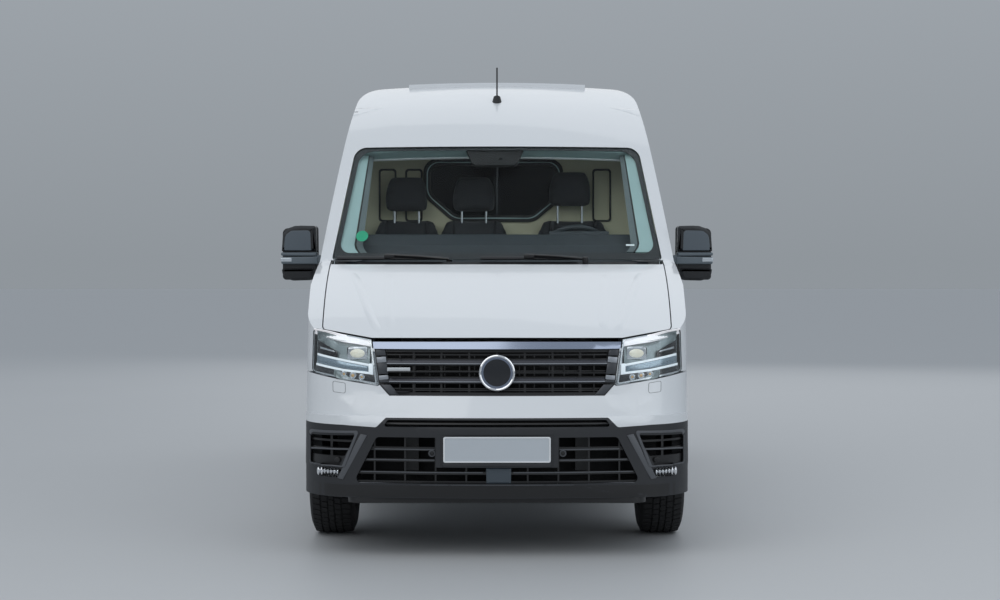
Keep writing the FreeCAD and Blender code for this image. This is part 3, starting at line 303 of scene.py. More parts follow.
def on_face(node, depth=0.0, way=1, start=-4.0):
    """A rule that puts a point of x and z behind a node's face, holding the last place found."""
    last = [0.0]

    def place(x, z):
        y = ahead_of(node, x, z, start, way)
        if y is not None:
            last[0] = y
        return Vector((x, last[0] + depth, z))
    return place


def on_side(node, hand, proud=0.0):
    """A rule that puts a point of y and z on a node's side face, standing proud of it."""
    last = [hand * 1.0]

    def place(y, z):
        x = beside(node, y, z, hand)
        if x is not None:
            last[0] = x
        return Vector((last[0] + hand * proud, y, z))
    return place


# Heights of the nose with their distance behind the bumper's face, and the turn's radius
NOSE = ((0.300, 0.014), (0.380, 0.0), (0.640, 0.0), (0.700, 0.022), (0.800, 0.062), (1.026, 0.092),
    (1.062, 0.112), (1.078, 0.150))
TURN = 4.5


def along_table(table, z):
    """The value at a height in a rising table of (height, value)."""
    for (low, near), (high, far) in zip(table, table[1:]):
        if z <= high:
            return near + (far - near) * max(z - low, 0) / (high - low)
    return table[-1][1]


def nose_line(x, z):
    """The bumper's and grille's face: the middle profile turned about the upright axis."""
    return FRONT + TURN - math.sqrt((TURN - along_table(NOSE, z)) ** 2 - x * x)


def on_nose(depth):
    """A rule that puts a point of x and z at a depth behind the nose's face."""
    def place(x, z):
        return Vector((x, nose_line(x, z) + depth, z))
    return place


def steps_between(start, end, count):
    """Even stops from one place to another."""
    return [start + (end - start) * step / count for step in range(count + 1)]


def level_band(low, high, start, end, steps):
    """Columns for a strip of even height from one place to another."""
    return spread([(start, low, high), (end, low, high)], steps)


def spread(columns, steps):
    """Columns of (place, low, high) with in-between columns added on each stretch."""
    result = []
    for first, second in zip(columns, columns[1:]):
        for step in range(steps):
            result.append(tuple(a + (b - a) * step / steps for a, b in zip(first, second)))
    return result + [columns[-1]]


def rounded(corners, steps=6, along=10):
    """A closed outline from corners of (u, v, radius), with points along its sides."""
    points = []
    count = len(corners)
    for index, (u, v, radius) in enumerate(corners):
        corner = Vector((u, v))
        before = Vector(corners[index - 1][:2]) - corner
        after = Vector(corners[(index + 1) % count][:2]) - corner
        if radius:
            half = before.angle(after) / 2
            reach = radius / math.tan(half)
            start = corner + before.normalized() * reach
            end = corner + after.normalized() * reach
            hub = corner + (before.normalized()
                + after.normalized()).normalized() * (radius / math.sin(half))
            for step in range(steps + 1):
                spot = start.lerp(end, step / steps) - hub
                points.append(hub + spot.normalized() * radius)
        else:
            points += [corner.copy() for step in range(steps + 1)]
        next_corner = corners[(index + 1) % count]
        if along:
            goal = Vector(next_corner[:2])
            back = corner - goal
            if next_corner[2]:
                turn = back.angle(Vector(corners[(index + 2) % count][:2]) - goal) / 2
                goal = goal + back.normalized() * (next_corner[2] / math.tan(turn))
            begin = points[-1]
            points += [begin.lerp(goal, step / (along + 1)) for step in range(1, along + 1)]
    return [tuple(point) for point in points]


def frame_corners(u_low, u_high, v_low, v_high, radius, pad=0.0):
    """The four corners of an upright frame, padded outward."""
    u_low, u_high, v_low, v_high = u_low - pad, u_high + pad, v_low - pad, v_high + pad
    return [(u_low, v_low, radius), (u_high, v_low, radius), (u_high, v_high, radius),
        (u_low, v_high, radius)]


def both(points):
    """An outline's right half, given from the top, mirrored to a whole."""
    return list(points) + [(-x, z, radius) for x, z, radius in reversed(points)]


def drawn_in(points, pull):
    """An outline drawn in towards its middle."""
    middle = sum((Vector(point) for point in points), Vector((0, 0))) / len(points)
    return [tuple(Vector(point) - (Vector(point) - middle).normalized() * pull) for point in points]


def oval(u, v, half_u, half_v, step):
    """Points round an oval, one for each step in degrees."""
    return [(u + half_u * math.cos(math.radians(turn)), v + half_v * math.sin(math.radians(turn)))
        for turn in range(0, 360, step)]


def draped(columns, place, rows=1, thickness=0.004, bulge=None, bevel=0.0):
    """A strip that follows a curved face, from columns of (along, low, high)."""
    deselect()
    bpy.ops.mesh.primitive_grid_add(x_subdivisions=len(columns) - 1, y_subdivisions=rows, size=1)
    piece = bpy.context.active_object
    wide = len(columns)
    for index, vertex in enumerate(piece.data.vertices):
        along, low, high = columns[index % wide]
        part = (index // wide) / rows
        spot = place(along, low + (high - low) * part)
        vertex.co = spot + bulge(part) if bulge else spot
    modify(piece, "SOLIDIFY", thickness=thickness, offset=-1)
    return bevelled(turn_out(piece), bevel)


def ring_between(outer, inner, place, thickness=0.0015, bevel=0.0):
    """A band between two outlines of equal count, laid on a curved face."""
    count = len(outer)
    starts = [place(*spot) for spot in outer]
    goals = [place(*spot) for spot in inner]
    piece = shaped(starts, "NOTHING")
    open_mesh(piece)
    bpy.ops.mesh.extrude_region_move()
    bpy.ops.object.mode_set(mode="OBJECT")
    for vertex in list(piece.data.vertices)[count:]:
        nearest = min(range(count), key=lambda index: (starts[index] - vertex.co).length)
        vertex.co = goals[nearest]
    modify(piece, "SOLIDIFY", thickness=thickness, offset=0)
    return bevelled(turn_out(piece), bevel)


def patch(points, place, thickness=0.002, bevel=0.0008):
    """A small plate with a given outline, laid on a curved face."""
    return plate([place(*spot) for spot in points], thickness, bevel)


def housing(points, front, back, chamfer, depth, bevel=0.004):
    """A shell with an outline of x and z, from a front face with a wide chamfer to its back."""
    piece = shaped([(x, back, z) for x, z in points])
    open_mesh(piece)
    bpy.ops.mesh.extrude_region_move(TRANSFORM_OT_translate={"value": (0, front + depth - back, 0)})
    if chamfer:
        bpy.ops.mesh.inset(thickness=chamfer)
        bpy.ops.transform.translate(value=(0, -depth, 0))
    return bevelled(turn_out(piece), bevel, 3, SHELL_SHARP)


def mirror_x(piece):
    """The same piece on the van's other side as well."""
    return modify(freeze(piece), "MIRROR", use_mirror_merge=False)


def panel_copy(node, name, finish_name, degrees=32, bevel=0.0):
    """A merged, smooth copy of a CAD node's mesh, which stands for the node."""
    piece = copied(name, NODES[node].data)
    open_mesh(piece)
    bpy.ops.mesh.remove_doubles(threshold=SEAM_GAP)
    bpy.ops.mesh.customdata_custom_splitnormals_clear()
    if bevel:
        open_mesh(piece)
        bpy.ops.mesh.dissolve_limited(angle_limit=math.radians(0.4))
        bevelled(piece, bevel)
    smooth(piece, degrees)
    modify(piece, "WEIGHTED_NORMAL", keep_sharp=True)
    finish(piece, name, BODY_OF[node], finish_name, degrees=None)
    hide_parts(node)
    return piece


def paint_node(node, finish_name):
    """Give a CAD node a material without touching its shape."""
    NODES[node].data.materials.clear()
    NODES[node].data.materials.append(MATERIALS[finish_name])


# Materials

def effect_group(name, inputs, outputs):
    """A shader node group with its inputs and outputs."""
    group = bpy.data.node_groups.new(name, "ShaderNodeTree")
    for label, kind, default in inputs:
        socket = group.interface.new_socket(label, in_out="INPUT", socket_type=kind)
        socket.default_value = default
    for label, kind in outputs:
        group.interface.new_socket(label, in_out="OUTPUT", socket_type=kind)
    return group, group.nodes.new("NodeGroupInput"), group.nodes.new("NodeGroupOutput")


def math_node(tree, kind, first, second, clamp=False):
    """A maths node on two numbers or sockets."""
    node = tree.nodes.new("ShaderNodeMath")
    node.operation = kind
    node.use_clamp = clamp
    for socket, value in zip(node.inputs, (first, second)):
        if isinstance(value, (int, float)):
            socket.default_value = value
        else:
            tree.links.new(value, socket)
    return node.outputs[0]


def build_surface_group():
    """Uneven tone, uneven gloss and a fine relief, all on the piece's own coordinates."""
    group, given, result = effect_group("surface_variation", [("Color", "NodeSocketColor",
        (0.8, 0.8, 0.8, 1)), ("Tone", "NodeSocketFloat", 0.1), ("Tone Scale", "NodeSocketFloat",
        3.0), ("Rough", "NodeSocketFloat", 0.5), ("Rough Shift", "NodeSocketFloat", 0.1),
        ("Grain Scale", "NodeSocketFloat", 400.0), ("Grain", "NodeSocketFloat", 0.5)],
        [("Color", "NodeSocketColor"), ("Roughness", "NodeSocketFloat"),
        ("Height", "NodeSocketFloat")])
    place = group.nodes.new("ShaderNodeTexCoord")
    broad = group.nodes.new("ShaderNodeTexNoise")
    broad.inputs["Detail"].default_value = 3
    fine = group.nodes.new("ShaderNodeTexNoise")
    fine.inputs["Detail"].default_value = 2
    links = group.links
    links.new(place.outputs["Object"], broad.inputs["Vector"])
    links.new(place.outputs["Object"], fine.inputs["Vector"])
    links.new(given.outputs["Tone Scale"], broad.inputs["Scale"])
    links.new(given.outputs["Grain Scale"], fine.inputs["Scale"])
    offset = math_node(group, "SUBTRACT", broad.outputs["Fac"], 0.5)
    tone = math_node(group, "ADD", math_node(group, "MULTIPLY", offset, given.outputs["Tone"]), 1.0)
    scale = group.nodes.new("ShaderNodeVectorMath")
    scale.operation = "SCALE"
    links.new(given.outputs["Color"], scale.inputs[0])
    links.new(tone, scale.inputs["Scale"])
    links.new(scale.outputs[0], result.inputs["Color"])
    shift = math_node(group, "MULTIPLY", offset, given.outputs["Rough Shift"])
    links.new(math_node(group, "ADD", shift, given.outputs["Rough"], clamp=True),
        result.inputs["Roughness"])
    links.new(math_node(group, "MULTIPLY", fine.outputs["Fac"], given.outputs["Grain"]),
        result.inputs["Height"])
    return group


def build_weave_group():
    """A woven cloth's threads, as a mask and a height."""
    group, given, result = effect_group("woven_threads", [("Scale", "NodeSocketFloat", 900.0)],
        [("Mask", "NodeSocketFloat"), ("Height", "NodeSocketFloat")])
    place = group.nodes.new("ShaderNodeTexCoord")
    waves = []
    for direction in ("X", "Z", "Y"):
        wave = group.nodes.new("ShaderNodeTexWave")
        wave.bands_direction = direction
        wave.inputs["Distortion"].default_value = 0.6
        group.links.new(place.outputs["Object"], wave.inputs["Vector"])
        group.links.new(given.outputs["Scale"], wave.inputs["Scale"])
        waves.append(wave.outputs["Fac"])
    total = math_node(group, "ADD", math_node(group, "MULTIPLY", waves[0], waves[1]), waves[2])
    group.links.new(math_node(group, "MULTIPLY", total, 0.5), result.inputs["Height"])
    group.links.new(math_node(group, "MULTIPLY", waves[0], waves[2]), result.inputs["Mask"])
    return group


def finish_material(name, color, rough, tone=0.06, tone_scale=3.0, rough_shift=0.1,
        grain_scale=400.0, grain=0.3, bump=0.0005, **shader):
    """A material whose colour, gloss and relief come from the shared surface group."""
    material = bpy.data.materials.new(name)
    material.use_nodes = True
    tree = material.node_tree
    bsdf = tree.nodes["Principled BSDF"]
    group = tree.nodes.new("ShaderNodeGroup")
    group.node_tree = bpy.data.node_groups["surface_variation"]
    for label, value in (("Color", (*color, 1)), ("Tone", tone), ("Tone Scale", tone_scale),
            ("Rough", rough), ("Rough Shift", rough_shift), ("Grain Scale", grain_scale),
            ("Grain", grain)):
        group.inputs[label].default_value = value
    relief = tree.nodes.new("ShaderNodeBump")
    relief.inputs["Distance"].default_value = bump
    relief.inputs["Strength"].default_value = 0.6
    tree.links.new(group.outputs["Height"], relief.inputs["Height"])
    tree.links.new(group.outputs["Color"], bsdf.inputs["Base Color"])
    tree.links.new(group.outputs["Roughness"], bsdf.inputs["Roughness"])
    if bump:
        tree.links.new(relief.outputs["Normal"], bsdf.inputs["Normal"])
    for label, value in shader.items():
        bsdf.inputs[label.replace("_", " ").title().replace("Ior", "IOR")].default_value = value
    MATERIALS[name] = material
    return material


def glass_material(name, color, rough, ior):
    """Clear glass that lets the lamps' light through to what lies behind it."""
    material = finish_material(name, color, rough, tone=0.02, rough_shift=0.0, bump=0.0,
        transmission_weight=1.0, ior=ior)
    tree = material.node_tree
    bsdf = tree.nodes["Principled BSDF"]
    output = tree.nodes["Material Output"]
    ray = tree.nodes.new("ShaderNodeLightPath")
    clear = tree.nodes.new("ShaderNodeBsdfTransparent")
    clear.inputs["Color"].default_value = (*color, 1)
    mix = tree.nodes.new("ShaderNodeMixShader")
    tree.links.new(ray.outputs["Is Shadow Ray"], mix.inputs["Fac"])
    tree.links.new(bsdf.outputs["BSDF"], mix.inputs[1])
    tree.links.new(clear.outputs["BSDF"], mix.inputs[2])
    tree.links.new(mix.outputs["Shader"], output.inputs["Surface"])
    return material


def cloth_material(name, color, thread):
    """A woven cloth with threads of a second colour."""
    material = finish_material(name, color, 0.9, tone=0.15, tone_scale=12.0, rough_shift=0.05)
    tree = material.node_tree
    bsdf = tree.nodes["Principled BSDF"]
    weave = tree.nodes.new("ShaderNodeGroup")
    weave.node_tree = bpy.data.node_groups["woven_threads"]
    weave.inputs["Scale"].default_value = 160.0
    blend = tree.nodes.new("ShaderNodeMix")
    blend.data_type = "RGBA"
    base = bsdf.inputs["Base Color"].links[0].from_socket
    tree.links.new(weave.outputs["Mask"], blend.inputs["Factor"])
    tree.links.new(base, blend.inputs[6])
    blend.inputs[7].default_value = (*thread, 1)
    tree.links.new(blend.outputs[2], bsdf.inputs["Base Color"])
    relief = [node for node in tree.nodes if node.type == "BUMP"][0]
    tree.links.new(weave.outputs["Height"], relief.inputs["Height"])
    relief.inputs["Distance"].default_value = 0.0008
    bsdf.inputs["Sheen Weight"].default_value = 0.08
    return material


class VanLooks(bpy.types.PropertyGroup):
    """Colours and sizes of the van's finish"""
    paint: FloatVectorProperty(name="Paint", description="Colour of the body paint",
        subtype="COLOR", default=(0.74, 0.765, 0.79), min=0, max=1)
    lower_plastic: FloatVectorProperty(name="Lower Plastic",
        description="Colour of the grained bumper plastic", subtype="COLOR",
        default=(0.020, 0.0215, 0.025), min=0, max=1)
    cloth: FloatVectorProperty(name="Seat Cloth", description="Colour of the seats' cloth",
        subtype="COLOR", default=(0.012, 0.013, 0.016), min=0, max=1)
    tread_depth: FloatProperty(name="Tread Depth", description="Depth of the tyres' grooves",
        unit="LENGTH", default=0.009, min=0.002, max=0.02)


# Name, colour, roughness and further settings
FINISHES = (
    ("inner_paint", (0.55, 0.57, 0.58), 0.5, dict(tone=0.03)),
    ("black_plastic", (0.012, 0.012, 0.013), 0.38, dict(tone=0.1, grain_scale=900, grain=0.8,
        bump=0.0003)),
    ("gloss_black", (0.006, 0.006, 0.007), 0.08, dict(tone=0.02, rough_shift=0.03, bump=0.0)),
    ("satin_bar", (0.045, 0.047, 0.058), 0.38, dict(metallic=0.3, grain_scale=700, grain=0.3,
        bump=0.0002)),
    ("bright_trim", (0.78, 0.79, 0.81), 0.09, dict(tone=0.02, rough_shift=0.04, bump=0.0,
        metallic=1.0)),
    ("mirror_glass", (0.85, 0.87, 0.88), 0.02, dict(tone=0.0, rough_shift=0.0, bump=0.0,
        metallic=1.0)),
    ("lamp_silver", (0.62, 0.65, 0.67), 0.16, dict(tone=0.05, rough_shift=0.05, bump=0.0,
        metallic=0.9)),
    ("lamp_dark", (0.03, 0.032, 0.035), 0.25, dict(tone=0.1, bump=0.0)),
    ("light_guide", (0.75, 0.8, 0.83), 0.2, dict(tone=0.03, bump=0.0, emission_strength=0.25,
        emission_color=(0.8, 0.88, 0.95, 1))),
    ("tyre_rubber", (0.016, 0.016, 0.017), 0.82, dict(tone=0.25, tone_scale=14, rough_shift=0.1,
        grain_scale=600, grain=1.0, bump=0.0006)),
    ("wheel_silver", (0.42, 0.43, 0.44), 0.35, dict(tone=0.06, tone_scale=18, rough_shift=0.1,
        grain_scale=900, grain=0.4, bump=0.0002, metallic=0.75)),
    ("brake_iron", (0.22, 0.2, 0.19), 0.45, dict(tone=0.35, tone_scale=30, metallic=0.9)),
    ("chassis_black", (0.02, 0.02, 0.021), 0.55, dict(tone=0.3, tone_scale=10, grain_scale=300,
        grain=1.0, bump=0.0008)),
    ("engine_metal", (0.16, 0.16, 0.165), 0.5, dict(tone=0.3, tone_scale=14, metallic=0.7)),
    ("dash_plastic", (0.016, 0.022, 0.027), 0.6, dict(tone=0.1, grain_scale=700, grain=1.0,
        bump=0.0006)),
    ("liner_board", (0.44, 0.42, 0.30), 0.75, dict(tone=0.08, tone_scale=6, grain_scale=350,
        grain=0.8, bump=0.0005)),
    ("headliner", (0.5, 0.5, 0.47), 0.9, dict(tone=0.05, grain_scale=900, grain=1.0, bump=0.0006)),
    ("pillar_trim", (0.30, 0.42, 0.42), 0.6, dict(tone=0.06, grain_scale=600, grain=0.8,
        bump=0.0004)),
    ("rubber_seal", (0.01, 0.01, 0.01), 0.65, dict(tone=0.1, bump=0.0002)),
    ("blank_plate", (0.49, 0.53, 0.57), 0.35, dict(tone=0.02, rough_shift=0.08, coat_weight=0.5)),
    ("sticker_green", (0.01, 0.30, 0.16), 0.5, dict(tone=0.02, bump=0.0)),
    ("label_white", (0.7, 0.72, 0.73), 0.5, dict(tone=0.02, bump=0.0)),
    ("frit_black", (0.007, 0.008, 0.009), 0.3, dict(tone=0.02, rough_shift=0.03, bump=0.0)),
    ("strip_chrome", (0.30, 0.34, 0.43), 0.14, dict(tone=0.04, rough_shift=0.04, bump=0.0,
        metallic=1.0)),
    ("satin_end", (0.060, 0.064, 0.072), 0.32, dict(metallic=0.3, tone=0.04, bump=0.0)),
    # A lighter satin, used for the painted highlights on the grille bars and their ends.
    ("satin_painted_highlight", (0.32, 0.34, 0.37), 0.3, dict(metallic=0.4, tone=0.04, bump=0.0)),
    ("satin_dish", (0.016, 0.018, 0.022), 0.22, dict(tone=0.05, bump=0.0001)),
    ("badge_white", (0.62, 0.65, 0.68), 0.35, dict(tone=0.02, bump=0.0)),
    ("lamp_pale", (0.26, 0.31, 0.32), 0.25, dict(tone=0.06, bump=0.0, metallic=0.3)),
    ("lamp_blue", (0.30, 0.37, 0.42), 0.15, dict(tone=0.06, bump=0.0, metallic=0.8)),
    # A grey lighter than the black plastic, for painted highlights along the bumper's edges, slats
    # and sensor rings.
    ("painted_highlight_grey", (0.085, 0.09, 0.10), 0.4, dict(tone=0.05, bump=0.0)),
    ("lamp_white", (0.78, 0.78, 0.80), 0.25, dict(tone=0.02, bump=0.0, emission_strength=0.30,
        emission_color=(1.0, 0.97, 1.0, 1))),
    ("matt_black", (0.004, 0.004, 0.0045), 0.8, dict(tone=0.1, bump=0.0)),
    ("seam_grey", (0.18, 0.19, 0.2), 0.6, dict(tone=0.05, bump=0.0)),
    # A light grey for the plate's rim: a painted highlight along its raised edge.
    ("plate_edge_painted_highlight", (0.72, 0.74, 0.76), 0.3, dict(tone=0.03, bump=0.0)),
    ("radar_gloss", (0.05, 0.065, 0.08), 0.18, dict(tone=0.03, bump=0.0)),
    ("mirror_black", (0.012, 0.013, 0.015), 0.35, dict(tone=0.06, grain_scale=900, grain=0.8,
        bump=0.0002)),
    ("mirror_grey", (0.085, 0.105, 0.125), 0.4, dict(tone=0.05, grain_scale=900, grain=0.6,
        bump=0.0002)),
    ("mirror_slate", (0.11, 0.135, 0.155), 0.4, dict(tone=0.05, grain_scale=900, grain=0.6,
        bump=0.0002)),
    ("lens_silver", (0.66, 0.71, 0.75), 0.12, dict(tone=0.03, bump=0.0, metallic=0.6)),
    ("projector_glass", (0.55, 0.55, 0.46), 0.06, dict(tone=0.0, rough_shift=0.0, bump=0.0,
        coat_weight=1.0, emission_strength=0.22, emission_color=(1.0, 0.98, 0.84, 1))),
    ("amber_inside", (0.62, 0.40, 0.18), 0.2, dict(tone=0.05, bump=0.0, coat_weight=0.6)),
    ("red_inside", (0.35, 0.01, 0.008), 0.25, dict(tone=0.05, bump=0.0, coat_weight=0.6)),
    ("cap_plastic", (0.05, 0.052, 0.055), 0.45, dict(tone=0.08, grain_scale=900, grain=0.8,
        bump=0.0003)),
    ("steel_post", (0.55, 0.56, 0.58), 0.2, dict(tone=0.05, bump=0.0, metallic=1.0)),
    ("gauge_dark", (0.01, 0.012, 0.015), 0.12, dict(tone=0.02, bump=0.0)),
    ("pillar_grey", (0.10, 0.125, 0.13), 0.6, dict(tone=0.06, grain_scale=600, grain=0.8,
        bump=0.0004)),
)
# Name, colour, roughness and index of refraction
GLASSES = (
    ("clear_glass", (0.93, 0.97, 0.97), 0.0, 1.09),
    ("tinted_glass", (0.55, 0.62, 0.62), 0.0, 1.3),
    ("dark_glass", (0.05, 0.055, 0.06), 0.0, 1.25),
    ("lens_clear", (0.96, 0.98, 0.99), 0.0, 1.3),
    ("red_lens", (0.62, 0.01, 0.008), 0.05, 1.45),
)


class VAN_OT_finishes(bpy.types.Operator):
    """Make the shared effects and the materials of all pieces"""
    bl_idname = "van.finishes"
    bl_label = "Finishes"

    def execute(self, context):
        looks = context.scene.van_looks
        build_surface_group()
        build_weave_group()
        finish_material("white_paint", tuple(looks.paint), 0.32, tone=0.015, tone_scale=1.2,
            rough_shift=0.04, grain_scale=260, grain=0.15, bump=0.0001, coat_weight=1.0,
            coat_roughness=0.04)
        finish_material("grained_plastic", tuple(looks.lower_plastic), 0.52, tone=0.12,
            tone_scale=5, rough_shift=0.12, grain_scale=900, grain=1.0, bump=0.0006)
        for name, colour, rough, settings in FINISHES:
            finish_material(name, colour, rough, **settings)
        for name, colour, rough, ior in GLASSES:
            glass_material(name, colour, rough, ior)
        cloth_material("seat_cloth", tuple(looks.cloth), (0.022, 0.023, 0.026))
        return {"FINISHED"}


WHITE_PANELS = ("roof_panel", "side_panel_left", "side_panel_right", "sliding_door", "rear_frame",
    "cab_frame", "wings", "bonnet", "front_bumper", "front_door_left", "front_door_right",
    "rear_door_left", "rear_door_right")
PLAIN_FINISHES = {"windscreen": "clear_glass", "scuttle": "black_plastic",
    "bumper_lower": "grained_plastic", "lower_slats": "black_plastic",
    "upper_grille": "black_plastic", "grille_trim": "strip_chrome", "fog_lamps": "lens_clear",
    "headlamps": "lamp_silver", "headlamp_lenses": "lens_clear", "door_glass_left": "tinted_glass",
    "door_glass_right": "tinted_glass", "tail_lamps": "red_lens", "rear_bumper": "grained_plastic",
    "bulkhead": "liner_board", "bulkhead_window": "dark_glass", "floor_pan": "inner_paint",
    "dashboard": "dash_plastic", "driver_seat": "seat_cloth", "passenger_bench": "seat_cloth",
    "steering_wheel": "dash_plastic", "wipers": "black_plastic", "antenna": "black_plastic",
    "mirror_left": "black_plastic", "mirror_right": "black_plastic",
    "wheel_liners": "black_plastic", "undertray": "black_plastic",
    "side_mouldings": "grained_plastic", "front_plate": "blank_plate",
    "chassis_rails": "chassis_black", "cross_members": "chassis_black",
    "bumper_beam": "chassis_black", "front_subframe": "chassis_black", "rear_axle": "chassis_black",
    "knuckle_left": "chassis_black", "knuckle_right": "chassis_black",
    "engine_block": "engine_metal", "radiator": "chassis_black", "fuel_tank": "black_plastic",
    "exhaust": "wheel_silver"}
CORNERS = (("front_left", 1), ("front_right", -1), ("rear_left", 1), ("rear_right", -1))


class VAN_OT_panels(bpy.types.Operator):
    """Give the painted panels smooth skins and every other node its finish"""
    bl_idname = "van.panels"
    bl_label = "Panels"

    def execute(self, context):
        for node, finish_name in PLAIN_FINISHES.items():
            paint_node(node, finish_name)
        for corner, _ in CORNERS:
            paint_node("tyre_" + corner, "tyre_rubber")
            paint_node("rim_" + corner, "wheel_silver")
        for node in WHITE_PANELS:
            panel_copy(node, node + "_skin", "white_paint")
        for node in ("windscreen", "bumper_lower", "scuttle", "headlamp_lenses", "grille_trim"):
            panel_copy(node, node + "_skin", PLAIN_FINISHES[node])
        return {"FINISHED"}


class VAN_OT_screen(bpy.types.Operator):
    """Add the windscreen's black border, sensor cover, labels and wipers"""
    bl_idname = "van.screen"
    bl_label = "Windscreen"

    def execute(self, context):
        behind = on_face("windscreen", 0.0012, way=-1, start=0.5)
        outer = rounded(both([(0.832, 2.123, 0.07), (0.905, 1.464, 0.02)]), 6, 16)
        inner = rounded(both([(0.806, 2.103, 0.09), (0.876, 1.500, 0.055)]), 6, 16)
        finish(ring_between(outer, inner, behind, 0.0012), "screen_border", "van", "frit_black")
        cover = [(-0.182, 2.104), (-0.145, 2.020), (-0.125, 2.006), (0.100, 2.006), (0.120, 2.020),
            (0.157, 2.104)]
        deep = on_face("windscreen", 0.024, way=-1, start=0.5)
        finish(patch(cover, deep, 0.02, 0.005), "sensor_cover", "van", "matt_black")
        eye = deep(0.02, 2.045)
        finish(drum(eye + Vector((0, -0.008, 0)), eye + Vector((0, -0.014, 0)), 0.012, 24, 0.001),
            "sensor_lens", "van", "gloss_black")
        finish(patch(oval(-0.752, 1.595, 0.034, 0.030, 12), behind, 0.0008, 0), "round_sticker",
            "van", "sticker_green")
        label = [(0.715, 1.549), (0.715, 1.540), (0.762, 1.540), (0.762, 1.549)]
        finish(patch(label, behind, 0.0008, 0), "screen_label", "van", "label_white")
        edge = on_face("windscreen", -0.006)
        blades, arms = [], []
        for start, end, pivot in ((-0.880, -0.300, -0.262), (-0.092, 0.440, 0.482)):
            stops = steps_between(start, end, 20)
            blades.append(draped([(x, 1.470, 1.486) for x in stops], edge, 2, 0.010, bevel=0.002))
            middle = (start + end) / 2
            arms.append(tube([edge(middle - 0.02, 1.487) + Vector((0, -0.008, 0.004)),
                edge((middle + pivot) / 2, 1.482) + Vector((0, -0.016, 0)),
                edge(pivot, 1.468) + Vector((0, -0.020, 0))], 0.0075, 12))
            clip = edge(middle, 1.480)
            arms.append(box_between((middle - 0.028, clip.y - 0.016, 1.472),
                (middle + 0.028, clip.y - 0.001, 1.494), 0.004))
            hub = edge(pivot, 1.456)
            arms.append(drum((pivot, hub.y - 0.004, 1.412), (pivot, hub.y - 0.014, 1.480), 0.016,
                20, 0.003))
        wiper = finish(merged(blades + arms), "wiper_set", "van", "black_plastic")
        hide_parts("wipers")
        return {"FINISHED"}


# The satin bars' heights, and heights with half the opening's width
GRILLE_ROWS = ((0.944, 0.978), (0.856, 0.890))
GRILLE_EDGE = ((0.797, 0.528), (0.855, 0.580), (1.024, 0.603))


def grille_edge(z):
    """Half the width of the grille's opening at a height."""
    return along_table(GRILLE_EDGE, z)


class VAN_OT_grille(bpy.types.Operator):
    """Add the grille's satin bars, end pieces, painted highlight lines on the bars and painted
    glints at their ends, disc and badge plate
    """
    bl_idname = "van.grille"
    bl_label = "Grille"

    def end_piece(self, low, high, drop, depths, thickness, bevel):
        """A plate at each end of the grille, whose outer corners stand lower and further ahead."""
        inner, outer = depths
        corners = ((grille_edge(low) - 0.050, low, inner), (grille_edge(low) - 0.003, low - drop,
            outer), (grille_edge(high) - 0.003, high - drop, outer),
            (grille_edge(high) - 0.050, high, inner))
        spots = [on_nose(0.012 + depth)(x, z) for x, z, depth in corners]
        return mirror_x(plate(spots, thickness, bevel))

    def execute(self, context):
        face = on_face("upper_grille", -0.002)
        crease = {0.0: 0.006, 0.25: -0.004, 0.5: -0.003, 0.75: 0.002, 1.0: 0.010}
        bars = []
        for low, high in GRILLE_ROWS:
            reach = grille_edge(low) - 0.048
            bars.append(draped(level_band(low, high, -reach, reach, 48), on_nose(0.012), 4, 0.010,
                lambda part: Vector((0, crease[part], 0)), 0.0012))
        # Thin lighter strips along the bars' lower creases: painted highlights where the creases
        # catch the light.
        creases = []
        for low in (0.952, 0.864):
            reach = grille_edge(low) - 0.05
            creases.append(draped(level_band(low, low + 0.004, -reach, reach, 40), on_nose(0.006),
                1, 0.003))
        finish(merged(creases), "bar_painted_highlights", "van", "satin_painted_highlight", 25)
        finish(merged(bars), "grille_bars", "van", "satin_bar", 25)
        ends = [self.end_piece(low, high, 0.0, (0.002, -0.004), 0.010, 0.002)
            for low, high in ((0.992, 1.022), (0.902, 0.958), (0.861, 0.872), (0.800, 0.850))]
        # Lighter plates where the bars meet the grille's ends: painted glints where the bar ends
        # catch the light.
        glints = [self.end_piece(low, high, 0.004, (-0.003, -0.006), 0.012, 0.003)
            for low, high in ((0.960, 0.988), (0.876, 0.898))]
        finish(merged(ends), "grille_ends", "van", "satin_end", 25)
        finish(merged(glints), "grille_end_painted_glints", "van", "satin_painted_highlight", 25)
        fins = []
        for low, high in ((0.994, 1.000), (0.907, 0.913), (0.820, 0.826)):
            reach = grille_edge(low) - 0.052
            fins.append(draped(level_band(low, high, -reach, reach, 36), face, 1, 0.006))
        for index in range(-7, 8):
            for low, high in ((0.808, 0.820), (0.826, 0.854), (0.893, 0.907), (0.913, 0.942),
                    (0.982, 0.994)):
                x = index * 0.0735 + 0.0367
                if abs(x) > grille_edge(low) - 0.06 or (abs(x) < 0.095 and 0.82 < low < 1.0):
                    continue
                spot = face(x, (low + high) / 2)
                fins.append(box_between((x - 0.003, spot.y, low), (x + 0.003, spot.y + 0.016, high),
                    0.0008, 1))
        finish(merged(fins), "grille_fins", "van", "black_plastic", 25)
        middle = (0, back_of(0.064), 0.911)
        ring = ((0.0, 0.090), (-0.006, 0.088), (-0.009, 0.083), (-0.006, 0.078), (0.004, 0.076),
            (0.010, 0.080), (0.010, 0.090))
        dish = ((0.0, 0.0), (0.0, 0.020), (0.002, 0.055), (0.006, 0.079), (0.012, 0.079),
            (0.012, 0.0))
        finish(faced(ring, 64, middle), "disc_ring", "van", "bright_trim", 40)
        finish(faced(dish, 64, middle), "disc_dish", "van", "satin_dish", 40)
        badge = on_nose(-0.002)(-0.484, 0.924)
        finish(box_between((-0.540, badge.y - 0.003, 0.916), (-0.427, badge.y + 0.010, 0.935),
            0.002), "badge_plate", "van", "badge_white")
        return {"FINISHED"}


